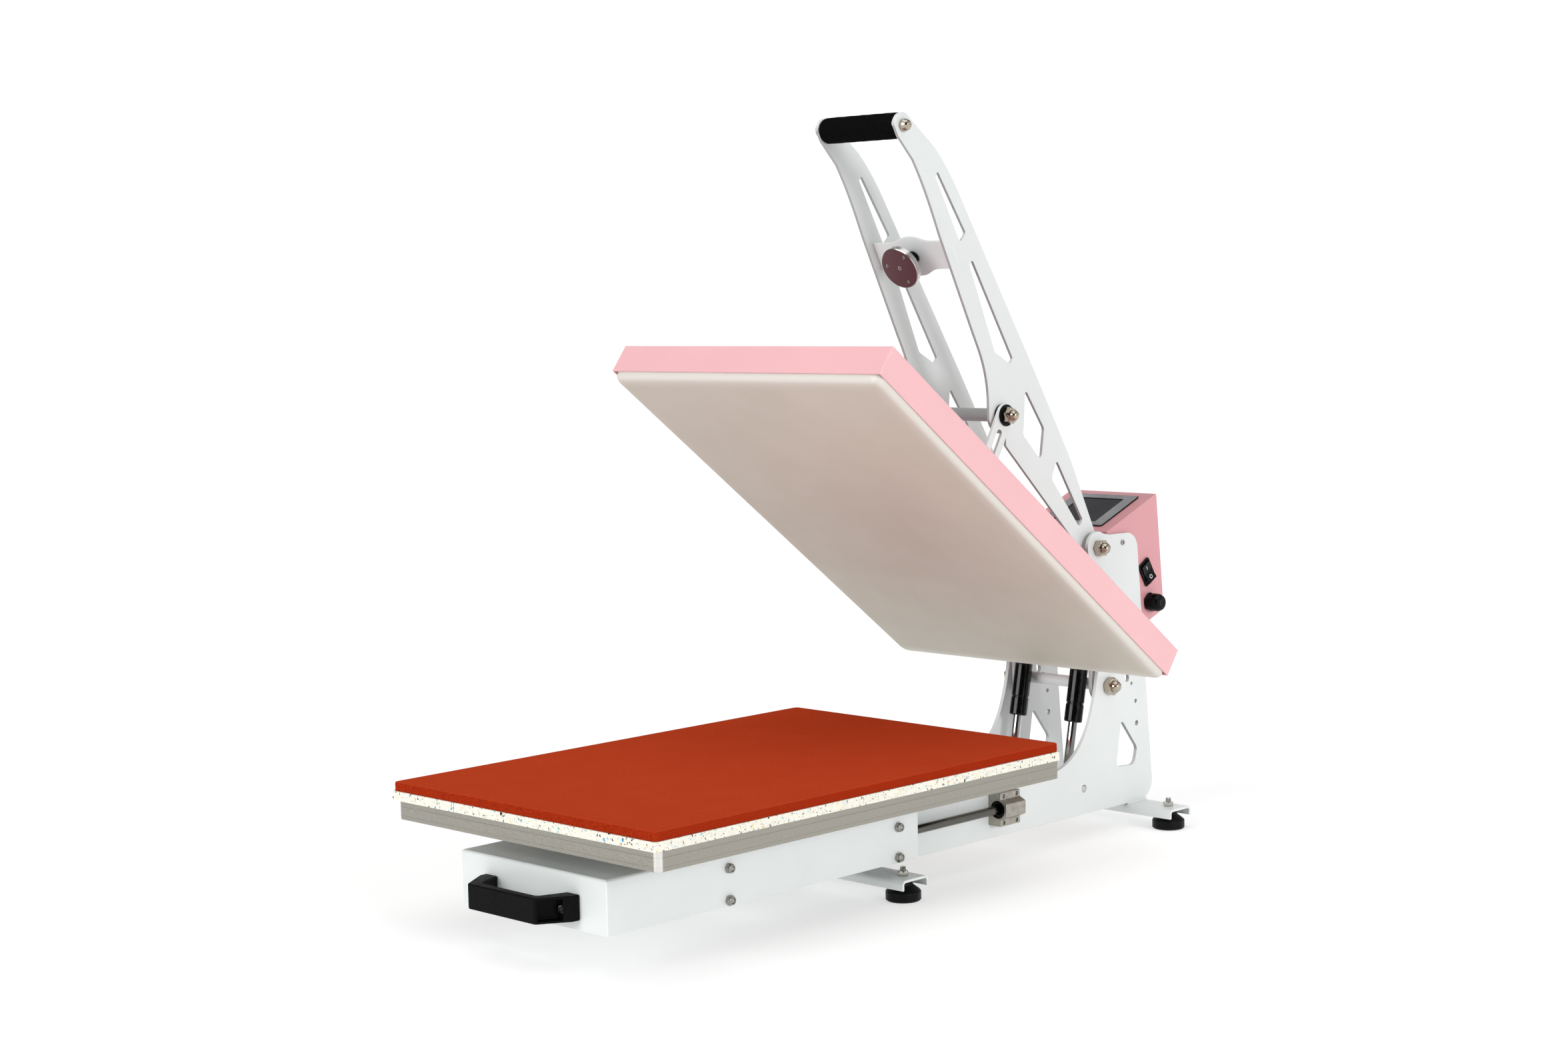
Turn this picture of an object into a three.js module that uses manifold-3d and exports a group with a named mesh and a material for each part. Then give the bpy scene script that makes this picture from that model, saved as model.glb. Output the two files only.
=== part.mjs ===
// Clamshell heat press with a slide-out bed and a lifting heated platen.
// Millimetres, +X to the operator's right, +Y to the back, +Z up.
// Y is measured from the bed's front edge with the drawer pulled out; the last lines
// centre the whole machine on the origin.
import * as THREE from 'three';
import { mergeVertices } from 'three/addons/utils/BufferGeometryUtils.js';
import Module from 'manifold-3d';

const wasm = await Module();
wasm.setup();

// ---------------------------------------------------------------- driving dimensions
const GAP = 0.3;

// frame: two upright side plates on two channel foot bars
const FRAME_OUT = 71;
const FRAME_T = 5;
const FRAME_IN = FRAME_OUT - FRAME_T;
const FRAME_FRONT_Y = 236;
const FRAME_BASE_Z = 27;
const FRAME_DECK_Z = 84.5;
const FRAME_REAR_Y = 948;
const FOOT_BAR_YS = [434.5, 914.5];
const FOOT_BAR = { halfLength: 136, width: 42, height: 12.5, sheet: 3, lip: 4.5 };
const FOOT_X = 118;
const FOOT_R = 19.4;

// pivots in the Y-Z plane
const HANDLE_PIVOT = [842.5, 344];
const PLATEN_PIVOT = [859.5, 176];
const LINK_PIVOT = [679.5, 510];
const GRIP_CENTRE = [519.5, 834];
const STRUT_FOOT = [811, 58];

// motion between the open rest pose and the closed pose
const PLATEN_OPEN = THREE.MathUtils.degToRad(37.2);
const HANDLE_SWING = THREE.MathUtils.degToRad(62.5);

// bed stack, bottom to top
const BED_X = 200;
const BED_LENGTH = 600;
const BED_FRAME_Z = [118.8, 137.4];
const FOAM_Z = [137.7, 147.5];
const PAD_Z = [147.8, 156.7];

// drawer box and its guide rods
const DRAWER_X = 111.2;
const DRAWER_Y = [16, 467];
const DRAWER_Z = [39.7, 95.5];
const DRAWER_SHEET = 2;
const ROD_X = 84.3;
const ROD_Z = 62.3;
const ROD_R = 5;
const ROD_Y = [168, 666];
const ROD_SUPPORT_YS = [180, 434.8];
const BLOCK_Y = [634, 669];

// heated platen, drawn closed with its pivot as the local origin
const COVER_X = 202;
const COVER_LENGTH = 604;
const COVER_HEIGHT = 34.4;
const COVER_SHEET = 1.5;
const COVER_REAR_Y = -65.5;
const RIM_Z = -10.7;
const COVER_TOP_Z = RIM_Z + COVER_HEIGHT;
const CLOTH_Z = RIM_Z - 8;
const CLOTH_SHEET = 0.8;
const PLATEN_ARM_X = [56.5, 61.5];
const MAGNET_Y = -436.7;
const MAGNET_TOP_Z = 85.6;
const PRESSURE_Y = -367.5;

// handle
const ARM_X = [55.5, 59.5];
const LINK_X = [62.6, 66.6];
const LINK_LENGTH = 105;
const LINK_ANGLE = THREE.MathUtils.degToRad(-120.6);
const GRIP_R = 14.5;
const ARMATURE_R = 25;

// gas struts
const STRUT_X = 42.5;
const STRUT_TOP_LOCAL = [-47.8, 46.6];
const STRUT_BARREL_START = 77;

// control box
const BOX_X = 65.2;
const FACE_LOW = [867, 361];
const FACE_HIGH = [967, 400.4];

// ---------------------------------------------------------------- finishes
const FINISH = {
  white_paint: { color: 0xe6e8e7, roughness: 0.5, metalness: 0.0 },
  pink_paint: { color: 0xf6c5ca, roughness: 0.5, metalness: 0.0 },
  silicone: { color: 0xb03a1e, roughness: 0.8, metalness: 0.0 },
  foam: { color: 0xf4f0e2, roughness: 0.9, metalness: 0.0 },
  aluminium: { color: 0xa8a298, roughness: 0.4, metalness: 1.0 },
  steel: { color: 0xb9b6b0, roughness: 0.25, metalness: 1.0 },
  chrome: { color: 0xd8d8d8, roughness: 0.08, metalness: 1.0 },
  nickel: { color: 0xbfae96, roughness: 0.18, metalness: 1.0 },
  black_rubber: { color: 0x111112, roughness: 0.65, metalness: 0.0 },
  black_plastic: { color: 0x161617, roughness: 0.45, metalness: 0.0 },
  black_paint: { color: 0x0c0c0d, roughness: 0.2, metalness: 0.2 },
  grip_foam: { color: 0x0a0a0b, roughness: 0.85, metalness: 0.0 },
  grey_paint: { color: 0x9b9d9d, roughness: 0.5, metalness: 0.0 },
  cloth: { color: 0xcfc2b6, roughness: 0.6, metalness: 0.0 },
  screen: { color: 0x3a383c, roughness: 0.25, metalness: 0.0 },
  bezel: { color: 0x87878c, roughness: 0.4, metalness: 0.0 },
};

// ---------------------------------------------------------------- shape helpers
// Adds a closed outline whose corners are [a, b, radius] to a shape or hole path.
function traceRounded(path, corners) {
  corners.forEach(([cx, cy, radius = 0], i) => {
    const [px, py] = corners.at(i - 1);
    const [nx, ny] = corners[(i + 1) % corners.length];
    const into = new THREE.Vector2(cx - px, cy - py).normalize();
    const away = new THREE.Vector2(nx - cx, ny - cy).normalize();
    const turn = Math.atan2(into.cross(away), into.dot(away));
    const reach = radius * Math.tan(Math.abs(turn) / 2);
    const sx = cx - into.x * reach;
    const sy = cy - into.y * reach;
    if (i === 0) path.moveTo(sx, sy);
    else path.lineTo(sx, sy);
    if (radius > 0) {
      const side = Math.sign(turn);
      const ox = sx - into.y * radius * side;
      const oy = sy + into.x * radius * side;
      const start = Math.atan2(sy - oy, sx - ox);
      path.absarc(ox, oy, radius, start, start + turn, side < 0);
    }
  });
  path.closePath();
  return path;
}

function outline(corners, holes = []) {
  const shape = traceRounded(new THREE.Shape(), corners);
  shape.holes = holes;
  return shape;
}

// Holes run anticlockwise, whichever way their corners are listed.
function hole(corners) {
  const clockwise = THREE.ShapeUtils.isClockWise(corners.map(([x, y]) => ({ x, y })));
  return traceRounded(new THREE.Path(), clockwise ? [...corners].reverse() : corners);
}

// Faceted round hole whose flats stand at the stated radius.
function roundHole(a, b, radius, sides = 12) {
  const path = new THREE.Path();
  const reach = radius / Math.cos(Math.PI / sides);
  for (let i = 0; i < sides; i++) {
    const angle = (2 * Math.PI * i) / sides;
    const x = a + reach * Math.cos(angle);
    const y = b + reach * Math.sin(angle);
    if (i === 0) path.moveTo(x, y);
    else path.lineTo(x, y);
  }
  path.closePath();
  return path;
}

// Adds a cubic curve from the current point as a few straight chords.
function curveTo(shape, [ax, ay], [bx, by], [ex, ey], chords) {
  const { x, y } = shape.currentPoint;
  const curve = new THREE.CubicBezierCurve(
    new THREE.Vector2(x, y), new THREE.Vector2(ax, ay), new THREE.Vector2(bx, by), new THREE.Vector2(ex, ey));
  curve.getPoints(chords).slice(1).forEach((p) => shape.lineTo(p.x, p.y));
}

function rectangle(a0, a1, b0, b1, radius = 0) {
  return [[a0, b0, radius], [a1, b0, radius], [a1, b1, radius], [a0, b1, radius]];
}

function extrude(shape, depth, curveSegments) {
  return new THREE.ExtrudeGeometry(shape, { depth, bevelEnabled: false, curveSegments });
}

// Outline drawn in Y-Z, thickened along X.
function alongX(shape, x0, x1, curveSegments = 2) {
  const axes = new THREE.Matrix4().makeBasis(
    new THREE.Vector3(0, 1, 0), new THREE.Vector3(0, 0, 1), new THREE.Vector3(1, 0, 0));
  return extrude(shape, x1 - x0, curveSegments).applyMatrix4(axes).translate(x0, 0, 0);
}

// Outline drawn in X-Z, thickened along Y.
function alongY(shape, y0, y1, curveSegments = 1) {
  const axes = new THREE.Matrix4().makeBasis(
    new THREE.Vector3(1, 0, 0), new THREE.Vector3(0, 0, 1), new THREE.Vector3(0, -1, 0));
  return extrude(shape, y1 - y0, curveSegments).applyMatrix4(axes).translate(0, y1, 0);
}

// Outline drawn in X-Y, thickened along Z.
function alongZ(shape, z0, z1, curveSegments = 2) {
  return extrude(shape, z1 - z0, curveSegments).translate(0, 0, z0);
}

function box(x0, x1, y0, y1, z0, z1) {
  return new THREE.BoxGeometry(x1 - x0, y1 - y0, z1 - z0)
    .translate((x0 + x1) / 2, (y0 + y1) / 2, (z0 + z1) / 2);
}

// Solid of revolution about Z from [radius, height] points, lowest first.
function turned(profile, segments = 16) {
  const points = profile.map(([r, h]) => new THREE.Vector2(r, h));
  return new THREE.LatheGeometry(points, segments).rotateX(Math.PI / 2);
}

function turnedX(profile, segments = 16) {
  return turned(profile, segments).rotateY(Math.PI / 2);
}

function ring(outer, inner, h0, h1, segments = 16) {
  return turned([[inner, h0], [outer, h0], [outer, h1], [inner, h1], [inner, h0]], segments);
}

function hexagon(acrossFlats, h0, h1) {
  return new THREE.CylinderGeometry(acrossFlats / Math.sqrt(3), acrossFlats / Math.sqrt(3), h1 - h0, 6)
    .rotateX(Math.PI / 2)
    .translate(0, 0, (h0 + h1) / 2);
}

function toManifold(geometry) {
  const bare = geometry.clone();
  bare.deleteAttribute('normal');
  bare.deleteAttribute('uv');
  const welded = mergeVertices(bare, 1e-3);
  const corners = welded.index.array;
  const kept = [];
  for (let i = 0; i < corners.length; i += 3) {
    const [a, b, c] = corners.slice(i, i + 3);
    if (a !== b && b !== c && c !== a) kept.push(a, b, c);
  }
  return new wasm.Manifold(new wasm.Mesh({
    numProp: 3,
    vertProperties: new Float32Array(welded.attributes.position.array),
    triVerts: new Uint32Array(kept),
  }));
}

function fromManifold(solid) {
  const mesh = solid.getMesh();
  const geometry = new THREE.BufferGeometry();
  geometry.setAttribute('position', new THREE.BufferAttribute(mesh.vertProperties, 3));
  geometry.setIndex(new THREE.BufferAttribute(mesh.triVerts, 1));
  const flat = geometry.toNonIndexed();
  flat.computeVertexNormals();
  return flat;
}

function cut(base, tools) {
  return fromManifold(tools.reduce((solid, tool) => solid.subtract(toManifold(tool)), toManifold(base)));
}

function join(pieces) {
  const [first, ...rest] = pieces.map(toManifold);
  return fromManifold(rest.reduce((solid, piece) => solid.add(piece), first));
}

function mirrored(geometry) {
  return fromManifold(toManifold(geometry).mirror([1, 0, 0]));
}

function place(parent, name, geometry, finish) {
  const mesh = new THREE.Mesh(geometry, new THREE.MeshStandardMaterial(FINISH[finish]));
  mesh.name = name;
  parent.add(mesh);
  return mesh;
}

// Right-hand geometry placed as a mirrored pair.
function placePair(parent, name, geometry, finish) {
  place(parent, `${name}_right`, geometry, finish);
  place(parent, `${name}_left`, mirrored(geometry), finish);
}

function pivotGroup(parent, [y, z], angle) {
  const group = new THREE.Group();
  group.position.set(0, y, z);
  group.rotation.x = angle;
  parent.add(group);
  return group;
}

// Axle with a hexagon cap nut on each end; the nuts start at seatX.
function cappedAxle(rodRadius, seatX, acrossFlats) {
  const nut = 0.5 * acrossFlats;
  const dome = 0.43 * acrossFlats;
  const end = seatX + nut + dome;
  const halfProfile = [[rodRadius, 0], [rodRadius, seatX + 1], [dome, seatX + 1], [dome, seatX + nut]];
  for (let i = 1; i < 3; i++) {
    const a = (i / 3) * (Math.PI / 2);
    halfProfile.push([dome * Math.cos(a), seatX + nut + dome * Math.sin(a)]);
  }
  halfProfile.push([0, end]);
  const lower = halfProfile.slice(1).reverse().map(([r, h]) => [r, -h]);
  const pieces = [turned([...lower, ...halfProfile.slice(1)], 12)];
  for (const side of [-1, 1]) {
    const a = side * seatX;
    const b = side * (seatX + nut);
    pieces.push(hexagon(acrossFlats, Math.min(a, b), Math.max(a, b)));
  }
  return join(pieces).rotateY(Math.PI / 2);
}

// ---------------------------------------------------------------- frame
function sidePlate() {
  const shape = new THREE.Shape();
  const [ay, az] = HANDLE_PIVOT;
  const eye = 19.5;
  shape.moveTo(FRAME_FRONT_Y + 8, FRAME_BASE_Z);
  shape.lineTo(FRAME_REAR_Y - 26, FRAME_BASE_Z);
  shape.absarc(FRAME_REAR_Y - 26, FRAME_BASE_Z + 24, 24, -Math.PI / 2, 0.09, false);
  shape.lineTo(921.5, 334);
  shape.absarc(900, 337, 20.5, 0.09, Math.PI / 2, false);
  shape.lineTo(866, 358);
  shape.lineTo(ay + eye * Math.cos(1), az + eye * Math.sin(1));
  shape.absarc(ay, az, eye, 1, Math.PI, false);
  shape.lineTo(843, 215);
  curveTo(shape, [832, 125], [800, 88], [745, FRAME_DECK_Z], 8);
  shape.lineTo(FRAME_FRONT_Y + 8, FRAME_DECK_Z);
  shape.absarc(FRAME_FRONT_Y + 8, FRAME_DECK_Z - 8, 8, Math.PI / 2, Math.PI, false);
  shape.lineTo(FRAME_FRONT_Y, FRAME_BASE_Z + 8);
  shape.absarc(FRAME_FRONT_Y + 8, FRAME_BASE_Z + 8, 8, Math.PI, 1.5 * Math.PI, false);
  shape.holes = [
    hole([[885, 132, 3], [874.5, 75, 6], [910.5, 73, 9], [916.5, 93, 9]]),
    hole([[894, 176, 3.8], [901.6, 176, 3.8], [897, 214, 3.8], [889.4, 214, 3.8]]),
    roundHole(914.2, 150.5, 2.4, 6),
    roundHole(915.6, 123.2, 3.4, 8),
    roundHole(906.2, 172.9, 2, 6),
    roundHole(...STRUT_FOOT, 4.2, 10),
    roundHole(...HANDLE_PIVOT, 5.3),
    roundHole(...PLATEN_PIVOT, 5.3),
  ];
  return alongX(shape, FRAME_IN, FRAME_OUT);
}

function footBar(y) {
  const top = FRAME_BASE_Z - GAP;
  const { halfLength, width, height, sheet } = FOOT_BAR;
  const front = y - width / 2;
  const rear = y + width / 2;
  const profile = outline([
    [front, top - height, 1.2], [front + sheet, top - height, 1.2], [front + sheet, top - sheet, 1.5],
    [rear - sheet, top - sheet, 1.5], [rear - sheet, top - height, 1.2], [rear, top - height, 1.2],
    [rear, top, FOOT_BAR.lip], [front, top, FOOT_BAR.lip],
  ]);
  const studHoles = [-FOOT_X, FOOT_X].map((x) => (
    turned([[0, 0], [4.5, 0], [4.5, sheet + 2], [0, sheet + 2]], 8).translate(x, y, top - sheet - 1)));
  return cut(alongX(profile, -halfLength, halfLength, 1), studHoles);
}

function levellingFoot(x, y) {
  const nutSeat = FRAME_BASE_Z;
  const body = turned([
    [0, 0], [FOOT_R - 1.5, 0], [FOOT_R, 3], [FOOT_R - 1, 14], [8.5, 20.2],
    [8.2, FRAME_BASE_Z - FOOT_BAR.sheet - 2 * GAP], [4, FRAME_BASE_Z - FOOT_BAR.sheet - 2 * GAP],
    [4, 38.2], [0, 38.2],
  ], 16);
  return join([body, hexagon(13, nutSeat, nutSeat + 6.5)]).translate(x, y, 0);
}

function crossBar(y0, y1, z0, z1) {
  const end = FRAME_IN - GAP;
  const bore = hole(rectangle(y0 + 2.5, y1 - 2.5, z0 + 2.5, z1 - 2.5));
  const tube = outline(rectangle(y0, y1, z0, z1, 4), [bore]);
  return alongX(tube, -end, end, 1);
}

function bearingBlock() {
  const inner = FRAME_OUT + GAP;
  const outer = inner + 26;
  const low = ROD_Z - 19.5;
  const high = ROD_Z + 19.5;
  const waist = inner + 17.5;
  const profile = outline([
    [inner, low], [waist, low], [waist, low + 8], [outer, low + 12],
    [outer, high - 12], [waist, high - 8], [waist, high], [inner, high],
  ], [roundHole(ROD_X, ROD_Z, ROD_R + 0.25, 16)]);
  const screwHoles = [];
  for (const y of [BLOCK_Y[0] + 5.5, BLOCK_Y[1] - 5.5]) {
    for (const z of [ROD_Z - 15.5, ROD_Z + 15.5]) {
      screwHoles.push(turnedX([[0, -8], [2.3, -8], [2.3, 1], [0, 1]], 8).translate(waist, y, z));
    }
  }
  return cut(alongY(profile, ...BLOCK_Y), screwHoles);
}

function addFrame(machine) {
  placePair(machine, 'base_side_plate', sidePlate(), 'white_paint');
  ['front', 'rear'].forEach((end, i) => {
    place(machine, `foot_bar_${end}`, footBar(FOOT_BAR_YS[i]), 'white_paint');
    for (const [side, x] of [['right', FOOT_X], ['left', -FOOT_X]]) {
      place(machine, `levelling_foot_${end}_${side}`, levellingFoot(x, FOOT_BAR_YS[i]), 'black_rubber');
    }
  });
  place(machine, 'cross_bar_front', crossBar(262, 292, 36, 66), 'white_paint');
  place(machine, 'cross_bar_rear', crossBar(700, 730, 36, 66), 'white_paint');
  placePair(machine, 'bearing_block', bearingBlock(), 'aluminium');
  const seat = FRAME_OUT + GAP;
  place(machine, 'handle_axle', cappedAxle(5, seat, 17).translate(0, ...HANDLE_PIVOT), 'nickel');
  place(machine, 'platen_axle', cappedAxle(5, seat, 18).translate(0, ...PLATEN_PIVOT), 'nickel');
  const pin = turnedX([[0, -70.8], [4, -70.8], [4, 70.8], [0, 70.8]], 12).translate(0, ...STRUT_FOOT);
  place(machine, 'strut_base_pin', pin, 'steel');
}

// ---------------------------------------------------------------- control box
function boxProfile(inset) {
  return outline([
    [876 + inset, 300, 8], [889 + inset, 262 + inset, 6], [949.7, 245 + inset, 5],
    [972 - inset, 253 + inset, 5],
    [979 - inset, 272, 3], [FACE_HIGH[0] - inset, FACE_HIGH[1] - inset, 2],
    [FACE_LOW[0] + inset, FACE_LOW[1] - inset, 2],
  ]);
}

function controlBox() {
  const shell = alongX(boxProfile(0), -BOX_X, BOX_X, 1);
  const inside = alongX(boxProfile(1.5), -BOX_X + 1.5, BOX_X - 1.5, 1);
  const cableHole = box(-20, 20, 905, 935, 235, 262);
  return cut(shell, [inside, cableHole]);
}

function faceGroup(machine) {
  const slope = Math.atan2(FACE_HIGH[1] - FACE_LOW[1], FACE_HIGH[0] - FACE_LOW[0]);
  return pivotGroup(machine, FACE_LOW, slope);
}

// The switch stands on the right-hand wall with its long side leaning back.
function switchGroup(machine) {
  const group = new THREE.Group();
  group.position.set(BOX_X + GAP, 944.5, 305.5);
  group.rotation.x = THREE.MathUtils.degToRad(31);
  machine.add(group);
  return group;
}

// Its lower half stands proud and its back is relieved so that half can be pressed in.
function rocker() {
  const half = 12.2;
  return alongY(outline([[3.8, -half], [6.2, -half], [3.4, 0], [4.6, half], [2, half], [2, 0]]), -8.2, 8.2);
}

function addControlBox(machine) {
  place(machine, 'control_box', controlBox(), 'pink_paint');
  const face = faceGroup(machine);
  const bezelShape = outline(rectangle(-49, 49, 11.5, 94.5, 4), [hole(rectangle(-33, 33, 21, 83))]);
  place(face, 'display_bezel', alongZ(bezelShape, GAP, 2.2, 1), 'bezel');
  place(face, 'display_screen', box(-32.6, 32.6, 21.4, 82.6, GAP, 1.7), 'screen');
  const power = switchGroup(machine);
  const frameShape = outline(rectangle(-11, 11, -15, 15, 2), [hole(rectangle(-8.6, 8.6, -12.8, 12.8))]);
  const switchFrame = join([alongX(frameShape, 0, 2.6, 1), box(0, 1.4, -9, 9, -13, 13)]);
  place(power, 'switch_frame', switchFrame, 'black_plastic');
  place(power, 'power_rocker', rocker(), 'black_plastic');
  const dome = turned([
    [0, 5], [11, 5], [11.4, 9], [10.6, 16], [8.2, 19.5], [4.5, 20.5], [4.5, 14], [0, 14],
  ], 14);
  const gland = join([hexagon(21, 0, 6), dome]).rotateY(Math.PI / 2).translate(BOX_X + GAP, 950, 268);
  place(machine, 'cable_gland', gland, 'black_plastic');
}

// ---------------------------------------------------------------- drawer and bed
function drawerBox() {
  const [y0, y1] = DRAWER_Y;
  const [z0, z1] = DRAWER_Z;
  const skin = DRAWER_SHEET;
  const section = outline([[-DRAWER_X, z0, 3], [DRAWER_X, z0, 3], [DRAWER_X, z1, 3.5], [-DRAWER_X, z1, 3.5]]);
  const outer = alongY(section, y0, y1);
  const hollow = box(-DRAWER_X + skin, DRAWER_X - skin, y0 + skin, y1 + 1, z0 - 1, z1 - skin);
  const nutHoles = [];
  for (const y of ROD_SUPPORT_YS) {
    for (const z of [ROD_Z - 16.5, ROD_Z + 16.5]) {
      const reach = DRAWER_X + 1;
      nutHoles.push(turnedX([[0, -reach], [3.8, -reach], [3.8, reach], [0, reach]], 6).translate(0, y, z));
    }
  }
  return cut(outer, [hollow, ...nutHoles]);
}

function drawerHandle() {
  const back = DRAWER_Y[0] - GAP;
  const front = back - 35.5;
  const grip = outline([
    [-69, back, 1.5], [-51, front, 5], [51, front, 5], [69, back, 1.5], [52, back, 1.5], [41, front + 10, 5],
    [-41, front + 10, 5], [-52, back, 1.5],
  ]);
  const body = alongZ(grip, 47.6, 73.6, 2);
  const pockets = [-1, 1].map((side) => {
    const corners = [[70, back - 8], [52, front + 6, 2], [44, front + 9, 2], [56, back - 6, 2]];
    return alongZ(outline(corners.map(([x, y, r]) => [side * x, y, r])), 50.4, 70.8, 1);
  });
  return cut(body, pockets);
}

function rodSupport(y) {
  const outer = DRAWER_X - DRAWER_SHEET - GAP;
  const inner = ROD_X - 10;
  const profile = outline([
    [outer, ROD_Z - 21], [outer, ROD_Z + 21], [outer - 6, ROD_Z + 21], [outer - 6, ROD_Z + 11],
    [inner, ROD_Z + 10, 3], [inner, ROD_Z - 10, 3], [outer - 6, ROD_Z - 11], [outer - 6, ROD_Z - 21],
  ], [roundHole(ROD_X, ROD_Z, ROD_R + 0.2)]);
  const pieces = [alongY(profile, y - 7, y + 7)];
  for (const z of [ROD_Z - 16.5, ROD_Z + 16.5]) {
    const stud = turnedX([[0, outer - 4], [3, outer - 4], [3, DRAWER_X + 7], [0, DRAWER_X + 7]], 6);
    pieces.push(stud.translate(0, y, z));
    pieces.push(hexagon(10, DRAWER_X + GAP, DRAWER_X + 5).rotateY(Math.PI / 2).translate(0, y, z));
  }
  return join(pieces);
}

// Mitred extrusion whose corners stay open, with a sheet web across the top.
function bedFrame() {
  const [z0, z1] = BED_FRAME_Z;
  const [front, rear] = [3, BED_LENGTH - 3];
  const notch = [6, 4];
  const corners = [
    [-BED_X + notch[0], front], [BED_X - notch[0], front], [BED_X, front + notch[1]], [BED_X, rear - notch[1]],
    [BED_X - notch[0], rear], [-BED_X + notch[0], rear], [-BED_X, rear - notch[1]], [-BED_X, front + notch[1]],
  ];
  const underside = box(-BED_X + 26, BED_X - 26, front + 26, rear - 26, z0 - 1, z1 - 4);
  return cut(alongZ(outline(corners), z0, z1), [underside]);
}

function bedRiser() {
  const [z0, z1] = [DRAWER_Z[1] + GAP, BED_FRAME_Z[1] - 4 - GAP];
  const frame = outline(rectangle(-80, 80, 90, 430), [hole(rectangle(-50, 50, 120, 400))]);
  return alongZ(frame, z0, z1);
}

function guideRod() {
  return turned([[0, ROD_Y[0]], [ROD_R, ROD_Y[0]], [ROD_R, ROD_Y[1]], [0, ROD_Y[1]]], 16)
    .rotateX(-Math.PI / 2).translate(ROD_X, 0, ROD_Z);
}

function addDrawer(machine) {
  place(machine, 'drawer_box', drawerBox(), 'white_paint');
  place(machine, 'drawer_handle', drawerHandle(), 'black_plastic');
  placePair(machine, 'guide_rod', guideRod(), 'chrome');
  ['front', 'rear'].forEach((end, i) => {
    placePair(machine, `rod_support_${end}`, rodSupport(ROD_SUPPORT_YS[i]), 'aluminium');
  });
  place(machine, 'bed_riser', bedRiser(), 'white_paint');
  place(machine, 'bed_frame', bedFrame(), 'aluminium');
  const foam = outline(rectangle(-BED_X - 1, BED_X + 1, -1, BED_LENGTH + 1, 2));
  place(machine, 'bed_foam', alongZ(foam, ...FOAM_Z, 1), 'foam');
  const pad = outline(rectangle(-BED_X, BED_X, 0, BED_LENGTH, 6));
  place(machine, 'silicone_pad', alongZ(pad, ...PAD_Z, 2), 'silicone');
}

// ---------------------------------------------------------------- heated platen
function platenArm() {
  const up = [Math.cos(Math.PI / 2 + PLATEN_OPEN), Math.sin(Math.PI / 2 + PLATEN_OPEN)];
  const back = [up[1], -up[0]];
  const at = (t, s, r) => [up[0] * t + back[0] * s, up[1] * t + back[1] * s, r];
  const [linkY, linkZ] = linkFootLocal();
  const seat = COVER_TOP_Z + GAP;
  const shape = outline([
    at(-19.5, -19.5, 19.4), at(-19.5, 19.5, 19.4), at(52, 19.5, 14), at(84, 8, 12),
    [-88, 54, 20], [linkY + 34, 54, 12], [linkY + 15, linkZ + 14, 9], [linkY - 15, linkZ + 14, 9],
    [linkY - 34, 54, 12], [-474, 54, 12], [-484, seat, 3], [-44, seat, 8],
  ], [
    roundHole(0, 0, 5.3),
    roundHole(...STRUT_TOP_LOCAL, 4.3, 10),
    hole([[-120, 34, 4.5], [-120, 45, 4.5], [-300, 45, 4.5], [-300, 34, 4.5]]),
  ]);
  const plate = alongX(shape, ...PLATEN_ARM_X);
  const boss = turnedX([[0, 58], [9, 58], [9, 62.3], [0, 62.3]], 12).translate(0, linkY, linkZ);
  return join([plate, boss]);
}

function linkFootLocal() {
  const y = LINK_PIVOT[0] + LINK_LENGTH * Math.cos(LINK_ANGLE) - PLATEN_PIVOT[0];
  const z = LINK_PIVOT[1] + LINK_LENGTH * Math.sin(LINK_ANGLE) - PLATEN_PIVOT[1];
  const c = Math.cos(PLATEN_OPEN);
  const s = Math.sin(PLATEN_OPEN);
  return [y * c - z * s, y * s + z * c];
}

function channelBetweenArms(middle, height, holeRadius) {
  const [y0, y1] = [middle - 25, middle + 25];
  const end = PLATEN_ARM_X[0] - GAP;
  const base = COVER_TOP_Z + GAP;
  const sheet = 3;
  const profile = outline([
    [y0, base], [y0 + sheet, base], [y0 + sheet, base + height - sheet, 1.5],
    [y1 - sheet, base + height - sheet, 1.5],
    [y1 - sheet, base], [y1, base], [y1, base + height, 4], [y0, base + height, 4],
  ]);
  const drill = turned([[0, 0], [holeRadius, 0], [holeRadius, height + 1], [0, height + 1]], 12)
    .translate(0, middle, base);
  return cut(alongX(profile, -end, end, 1), [drill]);
}

function platenCover() {
  const front = COVER_REAR_Y - COVER_LENGTH;
  const outer = alongZ(outline(rectangle(-COVER_X, COVER_X, front, COVER_REAR_Y, 2)), RIM_Z, COVER_TOP_Z, 1);
  const skin = COVER_SHEET;
  const half = COVER_X - skin;
  const inner = box(-half, half, front + skin, COVER_REAR_Y - skin, RIM_Z - 1, COVER_TOP_Z - skin);
  return cut(outer, [inner]);
}

function platenSlab(inset, z0, z1, radius) {
  const front = COVER_REAR_Y - COVER_LENGTH;
  const corners = rectangle(-COVER_X + inset, COVER_X - inset, front + inset, COVER_REAR_Y - inset, radius);
  return alongZ(outline(corners), z0, z1);
}

function clothTray() {
  const outside = platenSlab(2, CLOTH_Z, RIM_Z + 12, 14);
  const inside = platenSlab(2 + CLOTH_SHEET, CLOTH_Z + CLOTH_SHEET, RIM_Z + 13, 13.2);
  return cut(outside, [inside]);
}

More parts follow.
